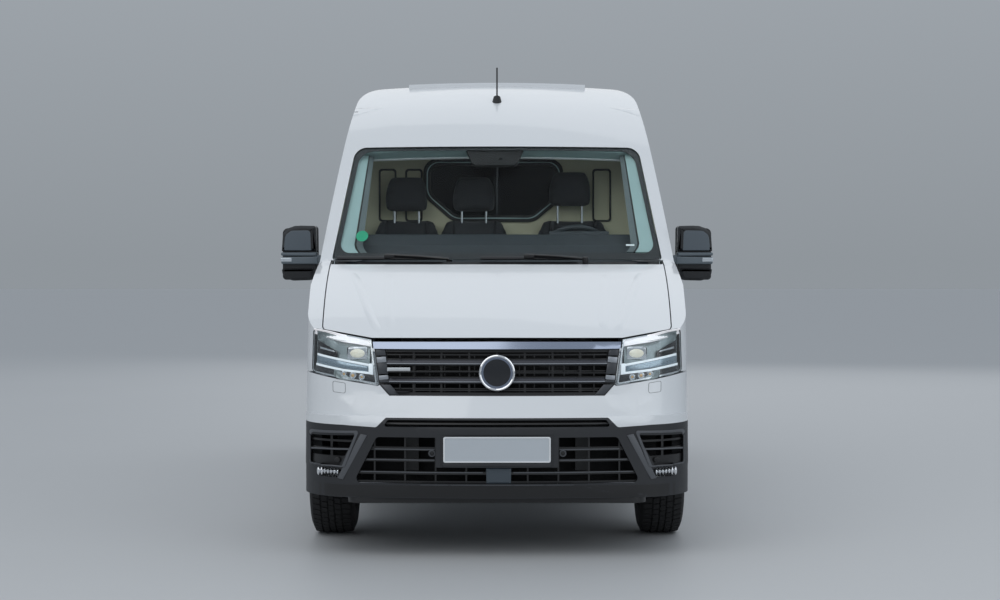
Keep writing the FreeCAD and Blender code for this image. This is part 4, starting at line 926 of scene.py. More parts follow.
class VAN_OT_lamps(bpy.types.Operator):
    """Fit out the headlamps: blades, projectors, light guides and lower reflectors"""
    bl_idname = "van.lamps"
    bl_label = "Headlamps"

    def execute(self, context):
        lens = "headlamp_lenses"
        near, middle, deep = on_face(lens, 0.012), on_face(lens, 0.020), on_face(lens, 0.031)

        def strip(columns, place, name, finish_name, thickness=0.004, rows=2, bulge=None, steps=8):
            piece = draped(spread(columns, steps), place, rows, thickness, bulge, 0.0006)
            return finish(mirror_x(piece), name, "van", finish_name, 30)

        strip([(0.628, 0.858, 1.066), (0.760, 0.872, 1.092), (0.900, 0.920, 1.120)], deep,
            "lamp_bowl", "lamp_pale", 0.003, 4)
        strip([(0.628, 1.036, 1.066), (0.760, 1.058, 1.092), (0.850, 1.078, 1.110),
            (0.914, 1.092, 1.119)], near, "lamp_blade", "lamp_white", 0.004, 2,
            lambda part: Vector((0, 0.010 * (1 - part), 0)))
        strip([(0.633, 0.940, 0.951), (0.760, 0.962, 0.973), (0.897, 0.987, 0.998)], near,
            "guide_upper", "light_guide", 0.010)
        strip([(0.612, 0.898, 0.909), (0.760, 0.914, 0.925), (0.903, 0.938, 0.949)], near,
            "guide_lower", "light_guide", 0.010)
        strip([(0.612, 0.900, 0.952), (0.622, 0.900, 0.953), (0.634, 0.901, 0.952)], near,
            "guide_end", "light_guide", 0.010, steps=2)
        strip([(0.636, 0.911, 0.940), (0.760, 0.927, 0.962), (0.900, 0.951, 0.987)], middle,
            "guide_floor", "lamp_blue", 0.003)
        strip([(0.600, 0.846, 0.896), (0.740, 0.862, 0.912), (0.820, 0.878, 0.922),
            (0.908, 0.906, 0.938)], middle, "lamp_lower", "lamp_dark", 0.003, 3)
        strip([(0.793, 0.976, 1.009), (0.840, 0.984, 1.034), (0.896, 1.000, 1.062)],
            on_face(lens, 0.016), "lamp_corner", "gloss_black", 0.003, 3)
        strip([(0.806, 1.006, 1.012), (0.884, 1.022, 1.032)], near, "corner_bar", "lamp_silver",
            0.004)
        x, z, wide, tall = 0.690, 1.002, 0.040, 0.024
        y = near(x, z).y
        rings = [mirror_x(box_between((x - wide - 0.012, y + 0.004, z - tall - 0.010),
            (x + wide + 0.012, y + 0.030, z + tall + 0.010), 0.012, 4))]
        glass = mirror_x(ball((x, y + 0.010, z), 1.0, 32, 16, (wide, 0.014, tall)))
        pieces = []
        for x, z, radius in ((0.668, 0.886, 0.012), (0.712, 0.893, 0.014), (0.756, 0.900, 0.012)):
            y = near(x, z).y
            rings.append(mirror_x(drum((x, y + 0.004, z), (x, y + 0.024, z), radius + 0.004, 24,
                0.003, radius)))
            pieces.append(mirror_x(ball((x, y + 0.008, z), radius * 0.75, 20, 10, (1, 0.6, 1))))
        finish(merged(rings), "projector_frames", "van", "lamp_silver", 35)
        finish(glass, "projector_lenses", "van", "projector_glass", 60)
        finish(merged(pieces), "turn_signals", "van", "amber_inside", 60)
        fog = on_face("fog_lamps", 0.004)
        bowls = [mirror_x(ball(fog(0.784 + index * 0.0165, 0.420) + Vector((0, 0.010, 0)), 1.0, 12,
            8, (0.0095, 0.014, 0.0215))) for index in range(7)]
        finish(merged(bowls), "fog_reflectors", "van", "bright_trim", 50)
        return {"FINISHED"}


class VAN_OT_bumper(bpy.types.Operator):
    """Add the bumper's frames, sensors, washer covers, plate edge, radar cover and a matt black
    sheet behind the grille as painted shade; the frames, slat lines, sensor rings and plate edge
    are lighter as painted highlights
    """
    bl_idname = "van.bumper"
    bl_label = "Bumper"

    def execute(self, context):
        def vent_line(x, z):
            return Vector((x, nose_line(x, z) + 0.012 + max(abs(x) - 0.80, 0) * 0.3, z))

        # The place of the painted shade sheet, deep behind the nose.
        def shade_sheet_line(x, z):
            return Vector((x, nose_line(x, min(z, 1.0)) + 0.150 + max(abs(x) - 0.55, 0) * 0.25, z))

        def plate_front(x, z):
            return Vector((x, back_of(0.0035), z))

        grey, white = "bumper_lower", "front_bumper"
        skin = on_face(grey, -0.001)
        # The vent frames, slant edges and slat lines are thin grey strips on the black plastic:
        # painted highlights where their edges catch the light.
        vent_out = rounded([(0.938, 0.452, 0.014), (0.936, 0.622, 0.016), (0.676, 0.628, 0.010),
            (0.748, 0.446, 0.010)], 4, 8)
        vent_in = rounded([(0.926, 0.459, 0.012), (0.924, 0.609, 0.014), (0.694, 0.615, 0.008),
            (0.762, 0.453, 0.008)], 4, 8)
        finish(mirror_x(ring_between(vent_out, vent_in, skin, 0.006, 0.0015)), "vent_frame_painted_highlights", "van",
            "painted_highlight_grey", 30)
        slant = [(0.668, 0.612), (0.786, 0.392), (0.757, 0.386), (0.636, 0.606)]
        finish(mirror_x(patch(slant, on_face(grey, -0.0015), 0.007, 0.002)), "slant_painted_highlights", "van",
            "painted_highlight_grey", 30)
        lines = [draped(level_band(0.368, 0.375, -0.93, 0.93, 60), on_face(grey, 0.0), 1, 0.004,
            bevel=0.001)]
        for low, high, reach in ((0.536, 0.541, 0.60), (0.484, 0.489, 0.64), (0.424, 0.429, 0.67)):
            sides = ((-reach, -0.305), (0.305, reach))
            if low < 0.45:
                sides = ((-reach, -0.07), (0.08, reach))
            for start, end in sides:
                lines.append(draped(level_band(low, high, start, end, 24),
                    on_face("lower_slats", -0.002), 1, 0.006))
        for start, end in ((0.712, 0.920), (-0.920, -0.712)):
            lines.append(draped(level_band(0.532, 0.540, start, end, 14), vent_line, 1, 0.006,
                bevel=0.0012))
        finish(merged(lines), "slat_painted_highlights", "van", "painted_highlight_grey", 30)
        lip = draped(level_band(0.304, 0.362, -0.94, 0.94, 60), on_face(grey, -0.0008), 3, 0.004)
        finish(lip, "bumper_lip", "van", "black_plastic", 30)
        # A matt black sheet behind the grille and slats: painted shade for the dark inside behind
        # the openings.
        painted_shade_sheet = draped(level_band(0.345, 1.02, -0.80, 0.80, 24), shade_sheet_line, 2, 0.004)
        finish(painted_shade_sheet, "grille_painted_shade", "van", "matt_black", 40)
        face = on_face(white, -0.0004)
        cover = rounded([(0.748, 0.858, 0.008), (0.746, 0.806, 0.010), (0.812, 0.812, 0.010),
            (0.814, 0.866, 0.008)], 3, 3)
        finish(mirror_x(ring_between(cover, drawn_in(cover, 0.0022), face, 0.0008)), "washer_seams",
            "van", "seam_grey", 0)
        sensors, rings = [], []
        ring = ((0, 0.017), (-0.004, 0.016), (-0.004, 0.012), (0.02, 0.012), (0.02, 0.017))
        for x, z, depth, proud, radius in ((-0.318, 0.520, 0.012, 0.004, 0.011),
                (0.322, 0.520, 0.012, 0.004, 0.011), (0.786, 0.482, 0.030, 0.006, 0.013),
                (-0.786, 0.482, 0.030, 0.006, 0.013)):
            spot = on_nose(depth)(x, z)
            sensors.append(drum(spot + Vector((0, 0.03, 0)), spot - Vector((0, proud, 0)), radius,
                24, 0.002))
            if abs(x) < 0.5:
                rings.append(faced(ring, 28, spot))
        finish(merged(sensors), "park_sensors", "van", "black_plastic", 40)
        # The lighter rings round the sensors are painted highlights on their rims.
        finish(merged(rings), "sensor_rings", "van", "painted_highlight_grey", 40)
        # The plate's rim is lighter than the plate: a painted highlight along its raised edge.
        rim = rounded(both([(0.262, 0.602, 0.010), (0.262, 0.476, 0.010)]), 4, 0)
        rim_in = rounded(both([(0.254, 0.594, 0.006), (0.254, 0.484, 0.006)]), 4, 0)
        finish(ring_between(rim, rim_in, plate_front, 0.003, 0.0008), "plate_rim", "van",
            "plate_edge_painted_highlight", 30)
        finish(box_between((-0.266, back_of(0.004), 0.452), (0.266, back_of(0.022), 0.474), 0.004),
            "plate_ledge", "van", "grained_plastic")
        finish(housing([(-0.052, 0.372), (0.068, 0.372), (0.070, 0.450), (-0.054, 0.450)],
            back_of(0.010), back_of(0.060), 0.008, 0.004, 0.002), "radar_cover", "van",
            "radar_gloss", 30)
        return {"FINISHED"}


# Piece, outline of (x, z, radius), near and far face behind MIRROR_FRONT, chamfer, its depth, bevel
MIRROR_FORMS = (
    ("mirror_shell", ((1.008, 1.512, 0.004), (1.203, 1.512, 0.004), (1.196, 1.612, 0.03),
        (1.165, 1.643, 0.05), (1.100, 1.655, 0.05), (1.012, 1.653, 0.014)), 0, 0.104, 0.016, 0.020,
        0.005),
    ("mirror_shell", ((1.034, 1.350, 0.02), (1.150, 1.347, 0.06), (1.198, 1.378, 0.03),
        (1.203, 1.414, 0.008), (1.020, 1.416, 0.008)), 0.004, 0.104, 0.016, 0.016, 0.004),
    ("mirror_shell", ((1.010, 1.352, 0.02), (1.198, 1.352, 0.02), (1.198, 1.640, 0.03),
        (1.012, 1.646, 0.01)), 0.022, 0.112, 0, 0, 0.004),
    ("mirror_shell", ((1.004, 1.349, 0.02), (1.206, 1.360, 0.04), (1.206, 1.605, 0.05),
        (1.150, 1.656, 0.06), (1.006, 1.654, 0.02)), 0.102, 0.124, 0, 0, 0.006),
    ("mirror_face", ((1.036, 1.516, 0.006), (1.190, 1.516, 0.006), (1.182, 1.602, 0.030),
        (1.150, 1.628, 0.034), (1.040, 1.630, 0.020)), -0.001, 0.02, 0.004, 0.002, 0.001),
    ("mirror_band", ((1.006, 1.485, 0.003), (1.206, 1.487, 0.008), (1.206, 1.505, 0.008),
        (1.006, 1.505, 0.003)), 0.002, 0.104, 0.006, 0.005, 0.002),
    ("mirror_band", ((1.000, 1.440, 0.006), (1.204, 1.440, 0.008), (1.206, 1.480, 0.006),
        (1.000, 1.482, 0.006)), 0.004, 0.104, 0.005, 0.004, 0.002),
    ("mirror_band", ((0.972, 1.440, 0.006), (1.030, 1.440, 0.006), (1.030, 1.490, 0.012),
        (0.978, 1.492, 0.020)), 0.010, 0.062, 0.008, 0.006, 0.003),
    ("mirror_signal", ((1.146, 1.452, 0.004), (1.207, 1.453, 0.004), (1.208, 1.476, 0.004),
        (1.146, 1.476, 0.004)), -0.001, 0.050, 0.003, 0.003, 0.001),
    ("mirror_glass", ((1.022, 1.462, 0.012), (1.192, 1.462, 0.012), (1.190, 1.596, 0.035),
        (1.142, 1.640, 0.05), (1.024, 1.638, 0.016)), 0.123, 0.1255, 0, 0, 0),
    ("mirror_glass", ((1.022, 1.366, 0.016), (1.190, 1.372, 0.03), (1.192, 1.448, 0.012),
        (1.022, 1.448, 0.012)), 0.123, 0.1255, 0, 0, 0),
)
MIRROR_FRONT = 1.394
MIRROR_FINISHES = {"mirror_shell": "mirror_black", "mirror_face": "mirror_grey",
    "mirror_band": "mirror_slate", "mirror_signal": "lens_silver", "mirror_glass": "mirror_glass"}


class VAN_OT_mirrors(bpy.types.Operator):
    """Build the door mirrors: two housings, band, indicator, glass and arm"""
    bl_idname = "van.mirrors"
    bl_label = "Mirrors"

    def execute(self, context):
        front = back_of(MIRROR_FRONT)
        pieces = {name: merged([housing(rounded(corners, 5, 0), front + near, front + far, *cut)
            for owner, corners, near, far, *cut in MIRROR_FORMS if owner == name])
            for name in MIRROR_FINISHES}
        for name, piece in pieces.items():
            other = copied(name + "_copy", piece.data)
            other.scale = (-1, 1, 1)
            turn_out(freeze(other))
            for item, side in ((piece, "left"), (other, "right")):
                node = "mirror_" + side
                finish(item, f"{name}_{side}", BODY_OF[node], MIRROR_FINISHES[name],
                    28)
                if name == "mirror_shell":
                    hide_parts(node)
        return {"FINISHED"}


# Route from the top as four (x, z), height, half width
CREASES = (((0.775, 1.405), (0.700, 1.290), (0.640, 1.180), (0.590, 1.100), 0.0050, 0.034),
    ((0.575, 1.405), (0.560, 1.300), (0.545, 1.200), (0.530, 1.110), 0.0028, 0.040))
CREASE_FADES = (0.15, 0.10)
CREASE_SINK = 0.0012


class VAN_OT_creases(bpy.types.Operator):
    """Raise the bonnet's soft creases, mirrored on both sides"""
    bl_idname = "van.creases"
    bl_label = "Bonnet Creases"

    def execute(self, context):
        pieces = []
        for *route, height, half in CREASES:
            stops = spread([(z, -1.0, 1.0) for _, z in route], 10)
            line = [(top, x) for x, top in reversed(route)]

            def place(z, across, line=line, height=height, half=half):
                x = along_table(line, z) + across * half
                share = (line[-1][0] - z) / (line[-1][0] - line[0][0])
                fade = min(1.0, share / CREASE_FADES[0], (1 - share) / CREASE_FADES[1])
                lift = height * (1 - across ** 2) ** 2 * max(fade, 0.0) - CREASE_SINK
                y = ahead_of("bonnet", x, z) or ahead_of("bonnet", x - 0.01, z) or 0.0
                return Vector((x, y - 0.3 * lift, z + 0.95 * lift))
            pieces.append(mirror_x(draped(stops, place, 10, 0.0006)))
        finish(merged(pieces), "bonnet_creases", "bonnet", "white_paint", 60)
        return {"FINISHED"}


TYRE_RADIUS = 0.356
TREAD_PITCHES = 60
BOLTS = 5
RIM_SLOTS = 16
SLOT_CIRCLE = 0.1565
BOLT_CIRCLE = 0.090


class VAN_OT_wheels(bpy.types.Operator):
    """Model one tyre with tread blocks and one steel wheel, and put a copy on each corner"""
    bl_idname = "van.wheels"
    bl_label = "Wheels"

    def tyre(self, depth):
        """The casing, with its floor at the bottom of the grooves."""
        base = TYRE_RADIUS - depth
        half = [(0.0, base), (0.050, base), (0.088, base - 0.0015), (0.098, base - 0.006),
            (0.1045, 0.333), (0.111, 0.318), (0.1135, 0.312), (0.1142, 0.3085), (0.1135, 0.305),
            (0.1165, 0.288), (0.1172, 0.275), (0.1150, 0.252), (0.1160, 0.249), (0.1145, 0.244),
            (0.108, 0.226), (0.097, 0.214), (0.0885, 0.2085)]
        section = half + [(-along, radius) for along, radius in reversed(half[1:])]
        return turned(section, 120)

    def blocks(self, depth):
        """One pitch of the tread, repeated round the tyre."""
        outer = TYRE_RADIUS
        floor = outer - depth - 0.003
        lean = math.tan(math.radians(12))
        pitch = 2 * math.pi * outer / TREAD_PITCHES
        rows = ((-0.098, -0.058, 0.80, 0.25), (-0.050, -0.020, 0.84, 0.0),
            (-0.013, 0.013, 0.90, 0.5), (0.020, 0.050, 0.84, 0.0), (0.058, 0.098, 0.80, 0.25))
        pieces = []
        for low, high, share, shift in rows:
            piece = box_between((low, -pitch * share / 2, floor), (high, pitch * share / 2, outer),
                0)
            for vertex in piece.data.vertices:
                vertex.co.y += (shift * pitch + vertex.co.x * lean)
                if abs(vertex.co.x) > 0.09:
                    vertex.co.z -= 0.007
                if vertex.co.z < outer - depth:
                    vertex.co.y += math.copysign(0.0015,
                        vertex.co.y - shift * pitch - vertex.co.x * lean)
            pieces.append(modify(piece, "BEVEL", width=0.0012, segments=1))
        block = merged(pieces)
        for vertex in block.data.vertices:
            turn = vertex.co.y / outer
            vertex.co.y, vertex.co.z = vertex.co.z * math.sin(turn), vertex.co.z * math.cos(turn)
        open_mesh(block)
        bpy.ops.mesh.spin(steps=TREAD_PITCHES - 1, dupli=True,
            angle=2 * math.pi * (1 - 1 / TREAD_PITCHES), center=(0, 0, 0), axis=(1, 0, 0))
        return turn_out(block)

    def rim(self):
        """The steel wheel: a barrel and a dish with slots and bolt holes."""
        barrel = [(0.0950, 0.2130), (0.0955, 0.2100), (0.0920, 0.2010), (0.0830, 0.1965),
            (0.0620, 0.1930), (0.0450, 0.1780), (-0.0500, 0.1770), (-0.0650, 0.1930),
            (-0.0830, 0.1975), (-0.0920, 0.2010), (-0.0955, 0.2100), (-0.0950, 0.2130),
            (-0.0900, 0.2120), (-0.0860, 0.2050), (-0.0660, 0.1980), (-0.0500, 0.1820),
            (0.0440, 0.1830), (0.0600, 0.1980), (0.0860, 0.2050), (0.0900, 0.2120)]
        face = [(0.0480, 0.0340), (0.0500, 0.0560), (0.0480, 0.0660), (0.0500, 0.0740),
            (0.0680, 0.1000), (0.0760, 0.1160), (0.0760, 0.1260), (0.0690, 0.1400),
            (0.0560, 0.1620), (0.0460, 0.1760), (0.0340, 0.1800), (0.0340, 0.1750),
            (0.0420, 0.1710), (0.0510, 0.1590), (0.0640, 0.1370), (0.0700, 0.1240),
            (0.0700, 0.1170), (0.0630, 0.1030), (0.0460, 0.0780), (0.0420, 0.0660),
            (0.0440, 0.0540), (0.0420, 0.0340)]
        dish = turned(face, 160)
        cutters = []
        for index in range(RIM_SLOTS):
            hole = drum((0.030, 0, SLOT_CIRCLE), (0.090, 0, SLOT_CIRCLE), 1.0, 20)
            for vertex in hole.data.vertices:
                vertex.co.y *= 0.0165
                vertex.co.z = SLOT_CIRCLE + (vertex.co.z - SLOT_CIRCLE) * 0.0095
            cutters.append(swung(hole, 2 * math.pi * index / RIM_SLOTS))
        for index in range(BOLTS):
            hole = drum((0.030, 0, BOLT_CIRCLE), (0.090, 0, BOLT_CIRCLE), 0.0085, 16)
            cutters.append(swung(hole, 2 * math.pi * (index + 0.5) / BOLTS))
        cutter = merged(cutters)
        modify(dish, "BOOLEAN", operation="DIFFERENCE", object=cutter, solver="EXACT")
        bpy.data.objects.remove(cutter)
        return merged([turned(barrel, 120), dish])

    def cap(self):
        """The hub's cover and its five nuts."""
        pieces = [turned([(0.046, 0.0), (0.064, 0.0), (0.0635, 0.018), (0.060, 0.030),
            (0.050, 0.0345), (0.046, 0.0345)], 48)]
        for index in range(BOLTS):
            nut = drum((0.048, 0, 0.0655), (0.066, 0, 0.0655), 0.0125, 6, 0.002)
            pieces.append(swung(nut, 2 * math.pi * index / BOLTS))
        return merged(pieces)

    def disc(self):
        """The brake disc behind the wheel."""
        return turned([(-0.010, 0.075), (-0.010, 0.148), (0.012, 0.148), (0.012, 0.080),
            (0.036, 0.076), (0.040, 0.060), (0.030, 0.060), (0.030, 0.072)], 64)

    def execute(self, context):
        depth = context.scene.van_looks.tread_depth
        makers = (("tyre", "tyre_rubber", merged([self.tyre(depth), self.blocks(depth)]), 32),
            ("wheel", "wheel_silver", self.rim(), 30), ("hub_cap", "cap_plastic", self.cap(), 35),
            ("brake_disc", "brake_iron", self.disc(), 35))
        for corner, hand in CORNERS:
            low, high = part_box("tyre_" + corner)
            centre = [(a + b) / 2 for a, b in zip(low, high)]
            for name, finish_name, model, degrees in makers:
                piece = copied(name, model.data)
                piece.scale = (hand, 1, 1)
                piece.location = centre
                turn_out(freeze(piece))
                node = ("tyre_" if name == "tyre" else "rim_") + corner
                finish(piece, f"{name}_{corner}", BODY_OF[node], finish_name,
                    degrees)
                if name in ("tyre", "wheel"):
                    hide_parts(node)
        for _, _, model, _ in makers:
            bpy.data.objects.remove(model)
        return {"FINISHED"}


def soft_form(outline, low, high, crown):
    """A crowned form from a side outline of (y, z), before it is filled out."""
    piece = shaped([(low, y, z) for y, z in outline])
    open_mesh(piece)
    bpy.ops.mesh.extrude_region_move(TRANSFORM_OT_translate={"value": (high - low, 0, 0)})
    return bevelled(turn_out(piece), crown, 4, math.radians(20))


def round_top(piece, start, end, pull):
    """Draw the upper corners of a soft form in towards its middle, after a finer remesh."""
    modify(piece, "REMESH", mode="VOXEL", voxel_size=0.015)
    spots = [vertex.co.x for vertex in piece.data.vertices]
    middle = (min(spots) + max(spots)) / 2
    for vertex in piece.data.vertices:
        share = min(max((vertex.co.z - start) / (end - start), 0.0), 1.0)
        vertex.co.x = middle + (vertex.co.x - middle) * (1 - pull * share ** 2)
    return piece


def filled_out(piece, voxel, cap, pressure=4.0, frames=14):
    """Swell a form like a stuffed cover: a short cloth run under pressure, its reach capped."""
    modify(piece, "REMESH", mode="VOXEL", voxel_size=voxel)
    start = [vertex.co.copy() for vertex in piece.data.vertices]
    scene = bpy.context.scene
    choose(piece)
    modifier = piece.modifiers.new("cloth", "CLOTH")
    settings = modifier.settings
    settings.use_pressure = True
    settings.uniform_pressure_force = pressure
    settings.effector_weights.gravity = 0
    settings.quality = 3
    settings.mass = 0.3
    settings.tension_stiffness = 12
    settings.compression_stiffness = 12
    modifier.collision_settings.use_self_collision = False
    modifier.point_cache.frame_start = 1
    modifier.point_cache.frame_end = frames
    for number in range(1, frames + 1):
        scene.frame_set(number)
        posed = piece.evaluated_get(bpy.context.evaluated_depsgraph_get()).data
        far = max((a.co - b).length for a, b in zip(posed.vertices, start))
        if far > cap:
            break
    choose(piece)
    bpy.ops.object.modifier_apply(modifier=modifier.name)
    scene.frame_set(1)
    for vertex, spot in zip(piece.data.vertices, start):
        way = vertex.co - spot
        if way.length > cap:
            vertex.co = spot + way * (cap / way.length)
    modify(piece, "SMOOTH", factor=0.5, iterations=6)
    modify(piece, "SUBSURF", levels=1, render_levels=1)
    return piece


def copy_along(piece, name, shift, stretch=1.0, about=0.0):
    """A copy with its own mesh, stretched about an x place and moved along X."""
    other = copied(name, piece.data)
    for vertex in other.data.vertices:
        vertex.co.x = about + (vertex.co.x - about) * stretch + shift
    return other


SEAT_SIDES = (0.254, 0.686)
REST_MIDDLE = 0.450
REST_DROP = -0.032
SEAM_OFF = 0.130
# Shift along X and stretch about the seat's middle
SEAT_PLACES = {"driver": (-0.008, 1.03), "window": (-1.020, 0.94), "middle": (-0.610, 0.97)}


class VAN_OT_seats(bpy.types.Operator):
    """Fill out the cab seats' cushions, backs and head rests, with seams and posts"""
    bl_idname = "van.seats"
    bl_label = "Seats"

    def grooved(self, piece, middle, depth, shows):
        """Sink a seam down each side of the face that shows, and swell the rolls beside it."""
        for vertex in piece.data.vertices:
            off = abs(vertex.co.x - middle)
            groove = math.exp(-((off - SEAM_OFF) / 0.006) ** 2)
            swell = max(0.0, (off - SEAM_OFF)) / 0.10
            if shows(vertex.normal):
                vertex.co -= vertex.normal * depth * (groove - min(swell, 1.0) * 0.9)

    def execute(self, context):
        low, high = SEAT_SIDES
        middle = (low + high) / 2
        back_outline = [(back_of(y), z) for y, z in ((2.318, 0.985), (2.330, 1.150), (2.345, 1.330),
            (2.372, 1.520), (2.390, 1.650), (2.408, 1.706), (2.440, 1.708), (2.453, 1.670),
            (2.440, 1.400), (2.420, 1.120), (2.405, 0.970), (2.360, 0.950))]
        cushion_outline = [(back_of(y), z) for y, z in ((1.915, 0.880), (1.912, 0.950),
            (1.935, 0.990), (2.000, 0.992), (2.150, 0.962), (2.300, 0.948), (2.322, 0.930),
            (2.322, 0.880))]
        rest_outline = [(back_of(y), z) for y, z in ((2.366, 1.800), (2.360, 1.870), (2.372, 1.950),
            (2.390, 1.988), (2.420, 1.994), (2.440, 1.968), (2.440, 1.860), (2.430, 1.800))]
        back = filled_out(round_top(soft_form(back_outline, low, high, 0.03), 1.54, 1.69, 0.20),
            0.013, 0.016)
        cushion = filled_out(soft_form(cushion_outline, low - 0.006, high + 0.006, 0.03), 0.013,
            0.014)
        rest = filled_out(round_top(soft_form(rest_outline, REST_MIDDLE - 0.117,
            REST_MIDDLE + 0.117, 0.022), 1.87, 1.99, 0.24), 0.008, 0.012)
        self.grooved(back, middle, 0.012, lambda normal: normal.y < -0.2)
        self.grooved(cushion, middle, 0.010, lambda normal: normal.z > 0.3)
        seats, rests = [], []
        for name, (shift, stretch) in SEAT_PLACES.items():
            owner = "driver_seat" if name == "driver" else "passenger_bench"
            for model, kind, fill in ((back, "back", 0.8), (cushion, "cushion", 0.8),
                    (rest, "head_rest", 0.85)):
                piece = copy_along(model, f"{name}_{kind}", shift, stretch if kind != "head_rest"
                    else 1.06, middle if kind != "head_rest" else REST_MIDDLE)
                if kind == "head_rest":
                    for vertex in piece.data.vertices:
                        vertex.co.z = 1.90 + (vertex.co.z - 1.90) * 1.10 + (0 if name == "driver"
                            else REST_DROP)
                        vertex.co.x += 0.002 if name == "driver" else 0.020
                finish(piece, f"{name}_{kind}", "van", "seat_cloth", 60)
                if kind == "back" and name != "middle":
                    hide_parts(owner)
            offset = REST_DROP if name != "driver" else 0.0
            centre = middle + shift - (0.018 if name == "driver" else 0)
            for side in (-0.074, 0.074):
                rests.append(drum((centre + side, back_of(2.408), 1.660),
                    (centre + side, back_of(2.408), 1.830 + offset), 0.0075, 12))
            wide = (high - low) * stretch / 2
            centre = middle + shift
            seats.append(box_between((centre - wide + 0.01, back_of(1.965), 0.570),
                (centre + wide - 0.01, back_of(2.335), 0.872), 0.012, 3))
        for model in (back, cushion, rest):
            bpy.data.objects.remove(model)
        finish(merged(rests), "rest_posts", "van", "steel_post", 40)
        finish(merged(seats), "seat_bases", "van", "dash_plastic", 40)
        return {"FINISHED"}


class VAN_OT_cab(bpy.types.Operator):
    """Dress the cab: bulkhead frame, headliner, pillar trims, dash, wheel and gear lever"""
    bl_idname = "van.cab"
    bl_label = "Cab"

    def execute(self, context):
        wall = on_face("bulkhead", -0.004, start=back_of(2.44))
        window = [(-0.410, 2.040, 0.060), (0.365, 2.040, 0.060), (0.365, 1.860, 0.090),
            (0.215, 1.735, 0.090), (-0.255, 1.735, 0.090), (-0.410, 1.870, 0.090)]
        wider = [(-0.452, 2.082, 0.085), (0.407, 2.082, 0.085), (0.407, 1.842, 0.115),
            (0.230, 1.693, 0.110), (-0.270, 1.693, 0.110), (-0.452, 1.852, 0.115)]
        outer, inner = rounded(wider, 6, 6), rounded(window, 6, 6)
        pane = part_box("bulkhead_window")[0][1]
        finish(ring_between(outer, inner, lambda x, z: Vector((x, pane - 0.012, z)), 0.022, 0.004),
            "bulkhead_seal", "van", "rubber_seal", 35)
        between = [tuple((a + b) / 2 for a, b in zip(first, second))
            for first, second in zip(outer, inner)]
        finish(ring_between(between, drawn_in(between, 0.007), lambda x, z: Vector((x,
            pane - 0.0245, z)), 0.002), "seal_line", "van", "pillar_trim", 35)
        lines = []
        # Black outlines round the bulkhead's pressed recesses: painted shade at their stepped
        # edges.
        for low, high in ((-0.714, -0.628), (-0.551, -0.468), (0.597, 0.689)):
            outer = rounded(frame_corners(low, high, 1.707, 2.008, 0.02, 0.012), 4, 2)
            inner = rounded(frame_corners(low, high, 1.707, 2.008, 0.014), 4, 2)
            lines.append(ring_between(outer, inner, wall, 0.006, 0.001))
        finish(merged(lines), "recess_edge_painted_shade", "van", "rubber_seal", 35)
        stops = steps_between(-0.80, 0.80, 32)

        def roof_line(x, z):
            y = behind_at("windscreen", x, 2.095, 0.5, 0)
            return Vector((x, y + 0.030 + (z - 2.100) * -2.2, z - (x / 0.8) ** 2 * 0.012))

        liner = draped([(x, 2.068, 2.104) for x in stops], roof_line, 2, 0.010)
        finish(liner, "headliner_edge", "van", "pillar_trim", 40)
        # A thin white line along the headliner's edge: a painted highlight.
        bright = draped([(x, 2.0580, 2.0650) for x in stops], lambda x, z: roof_line(x,
            z) - Vector((0, 0.012, 0)), 1, 0.004)
        finish(bright, "headliner_painted_highlight", "van", "label_white", 40)
        sheet = draped([(x, 0.0, 1.0) for x in stops], lambda x, part: Vector((x,
            roof_line(x, 2.068).y + 0.01 + part * (back_of(2.32) - roof_line(x, 2.068).y),
            2.100 + part * 0.15)), 4, 0.006)
        finish(sheet, "headliner", "van", "headliner", 40)
        trims, lines, strips = [], [], []
        for hand in (1, -1):
            rows = steps_between(1.500, 2.080, 24)

            def pillar(z, part, hand=hand):
                share = (z - 1.500) / 0.58
                wide = 0.080 - 0.030 * share
                edge = 0.880 - 0.070 * share - 0.03 * max(0.0, 0.06 - share) / 0.06
                x = hand * (edge - wide + part * wide)
                y = behind_at("windscreen", hand * min(edge, 0.85), z, 0.5, 0)
                return Vector((x, y + 0.022 + (1 - part) * 0.03, z))

            trims.append(draped([(z, 0.0, 1.0) for z in rows], pillar, 4, 0.008))
            lines.append(draped([(z, -0.14, -0.02) for z in rows], pillar, 1, 0.008))
            strips.append(draped([(z, -0.60, -0.14) for z in rows], pillar, 2, 0.008))
        finish(merged(lines), "pillar_seals", "van", "rubber_seal", 45)
        finish(merged(strips), "pillar_inner", "van", "pillar_grey", 45)
        finish(merged(trims), "pillar_trims", "van", "pillar_trim", 45)
        self.dash()
        self.steering()
        return {"FINISHED"}

    def dash(self):
        """The dashboard's skin, vents, screens and gear lever."""
        panel_copy("dashboard", "dashboard_skin", "dash_plastic", 35, 0.006)
        dash_back = back_of(1.78)
        vents, faces = [], []
        for x in (-0.78, 0.78, -0.095, 0.085):
            for row in range(4):
                z = 1.455 + row * 0.018
                y = behind_at("dashboard", x, z, 1.0, dash_back)
                vents.append(box_between((x - 0.06, y - 0.004, z), (x + 0.06, y + 0.006, z + 0.005),
                    0.001, 1))
        finish(merged(vents), "dash_vents", "van", "black_plastic", 40)
        y = behind_at("dashboard", 0.0, 1.30, 1.0, dash_back)
        faces.append(box_between((-0.115, y - 0.004, 1.235), (0.115, y + 0.004, 1.385), 0.004, 2))
        y = behind_at("dashboard", 0.465, 1.565, 1.0, dash_back)
        faces.append(box_between((0.330, y - 0.006, 1.50), (0.600, y + 0.002, 1.590), 0.006, 2))
        finish(merged(faces), "dash_screens", "van", "gauge_dark", 40)
        foot = Vector((0.06, back_of(1.785), 1.14))
        lever = [drum(foot, foot + Vector((0, 0.030, 0.115)), 0.011, 16, 0.002),
            ball(foot + Vector((0, 0.036, 0.140)), 0.027, 20, 12, (0.9, 0.9, 1.2)),
            drum(foot + Vector((0, -0.01, -0.01)), foot + Vector((0, 0.008, 0.04)), 0.042, 20,
            0.006, 0.014)]
        finish(merged(lever), "gear_lever", "van", "black_plastic", 50)

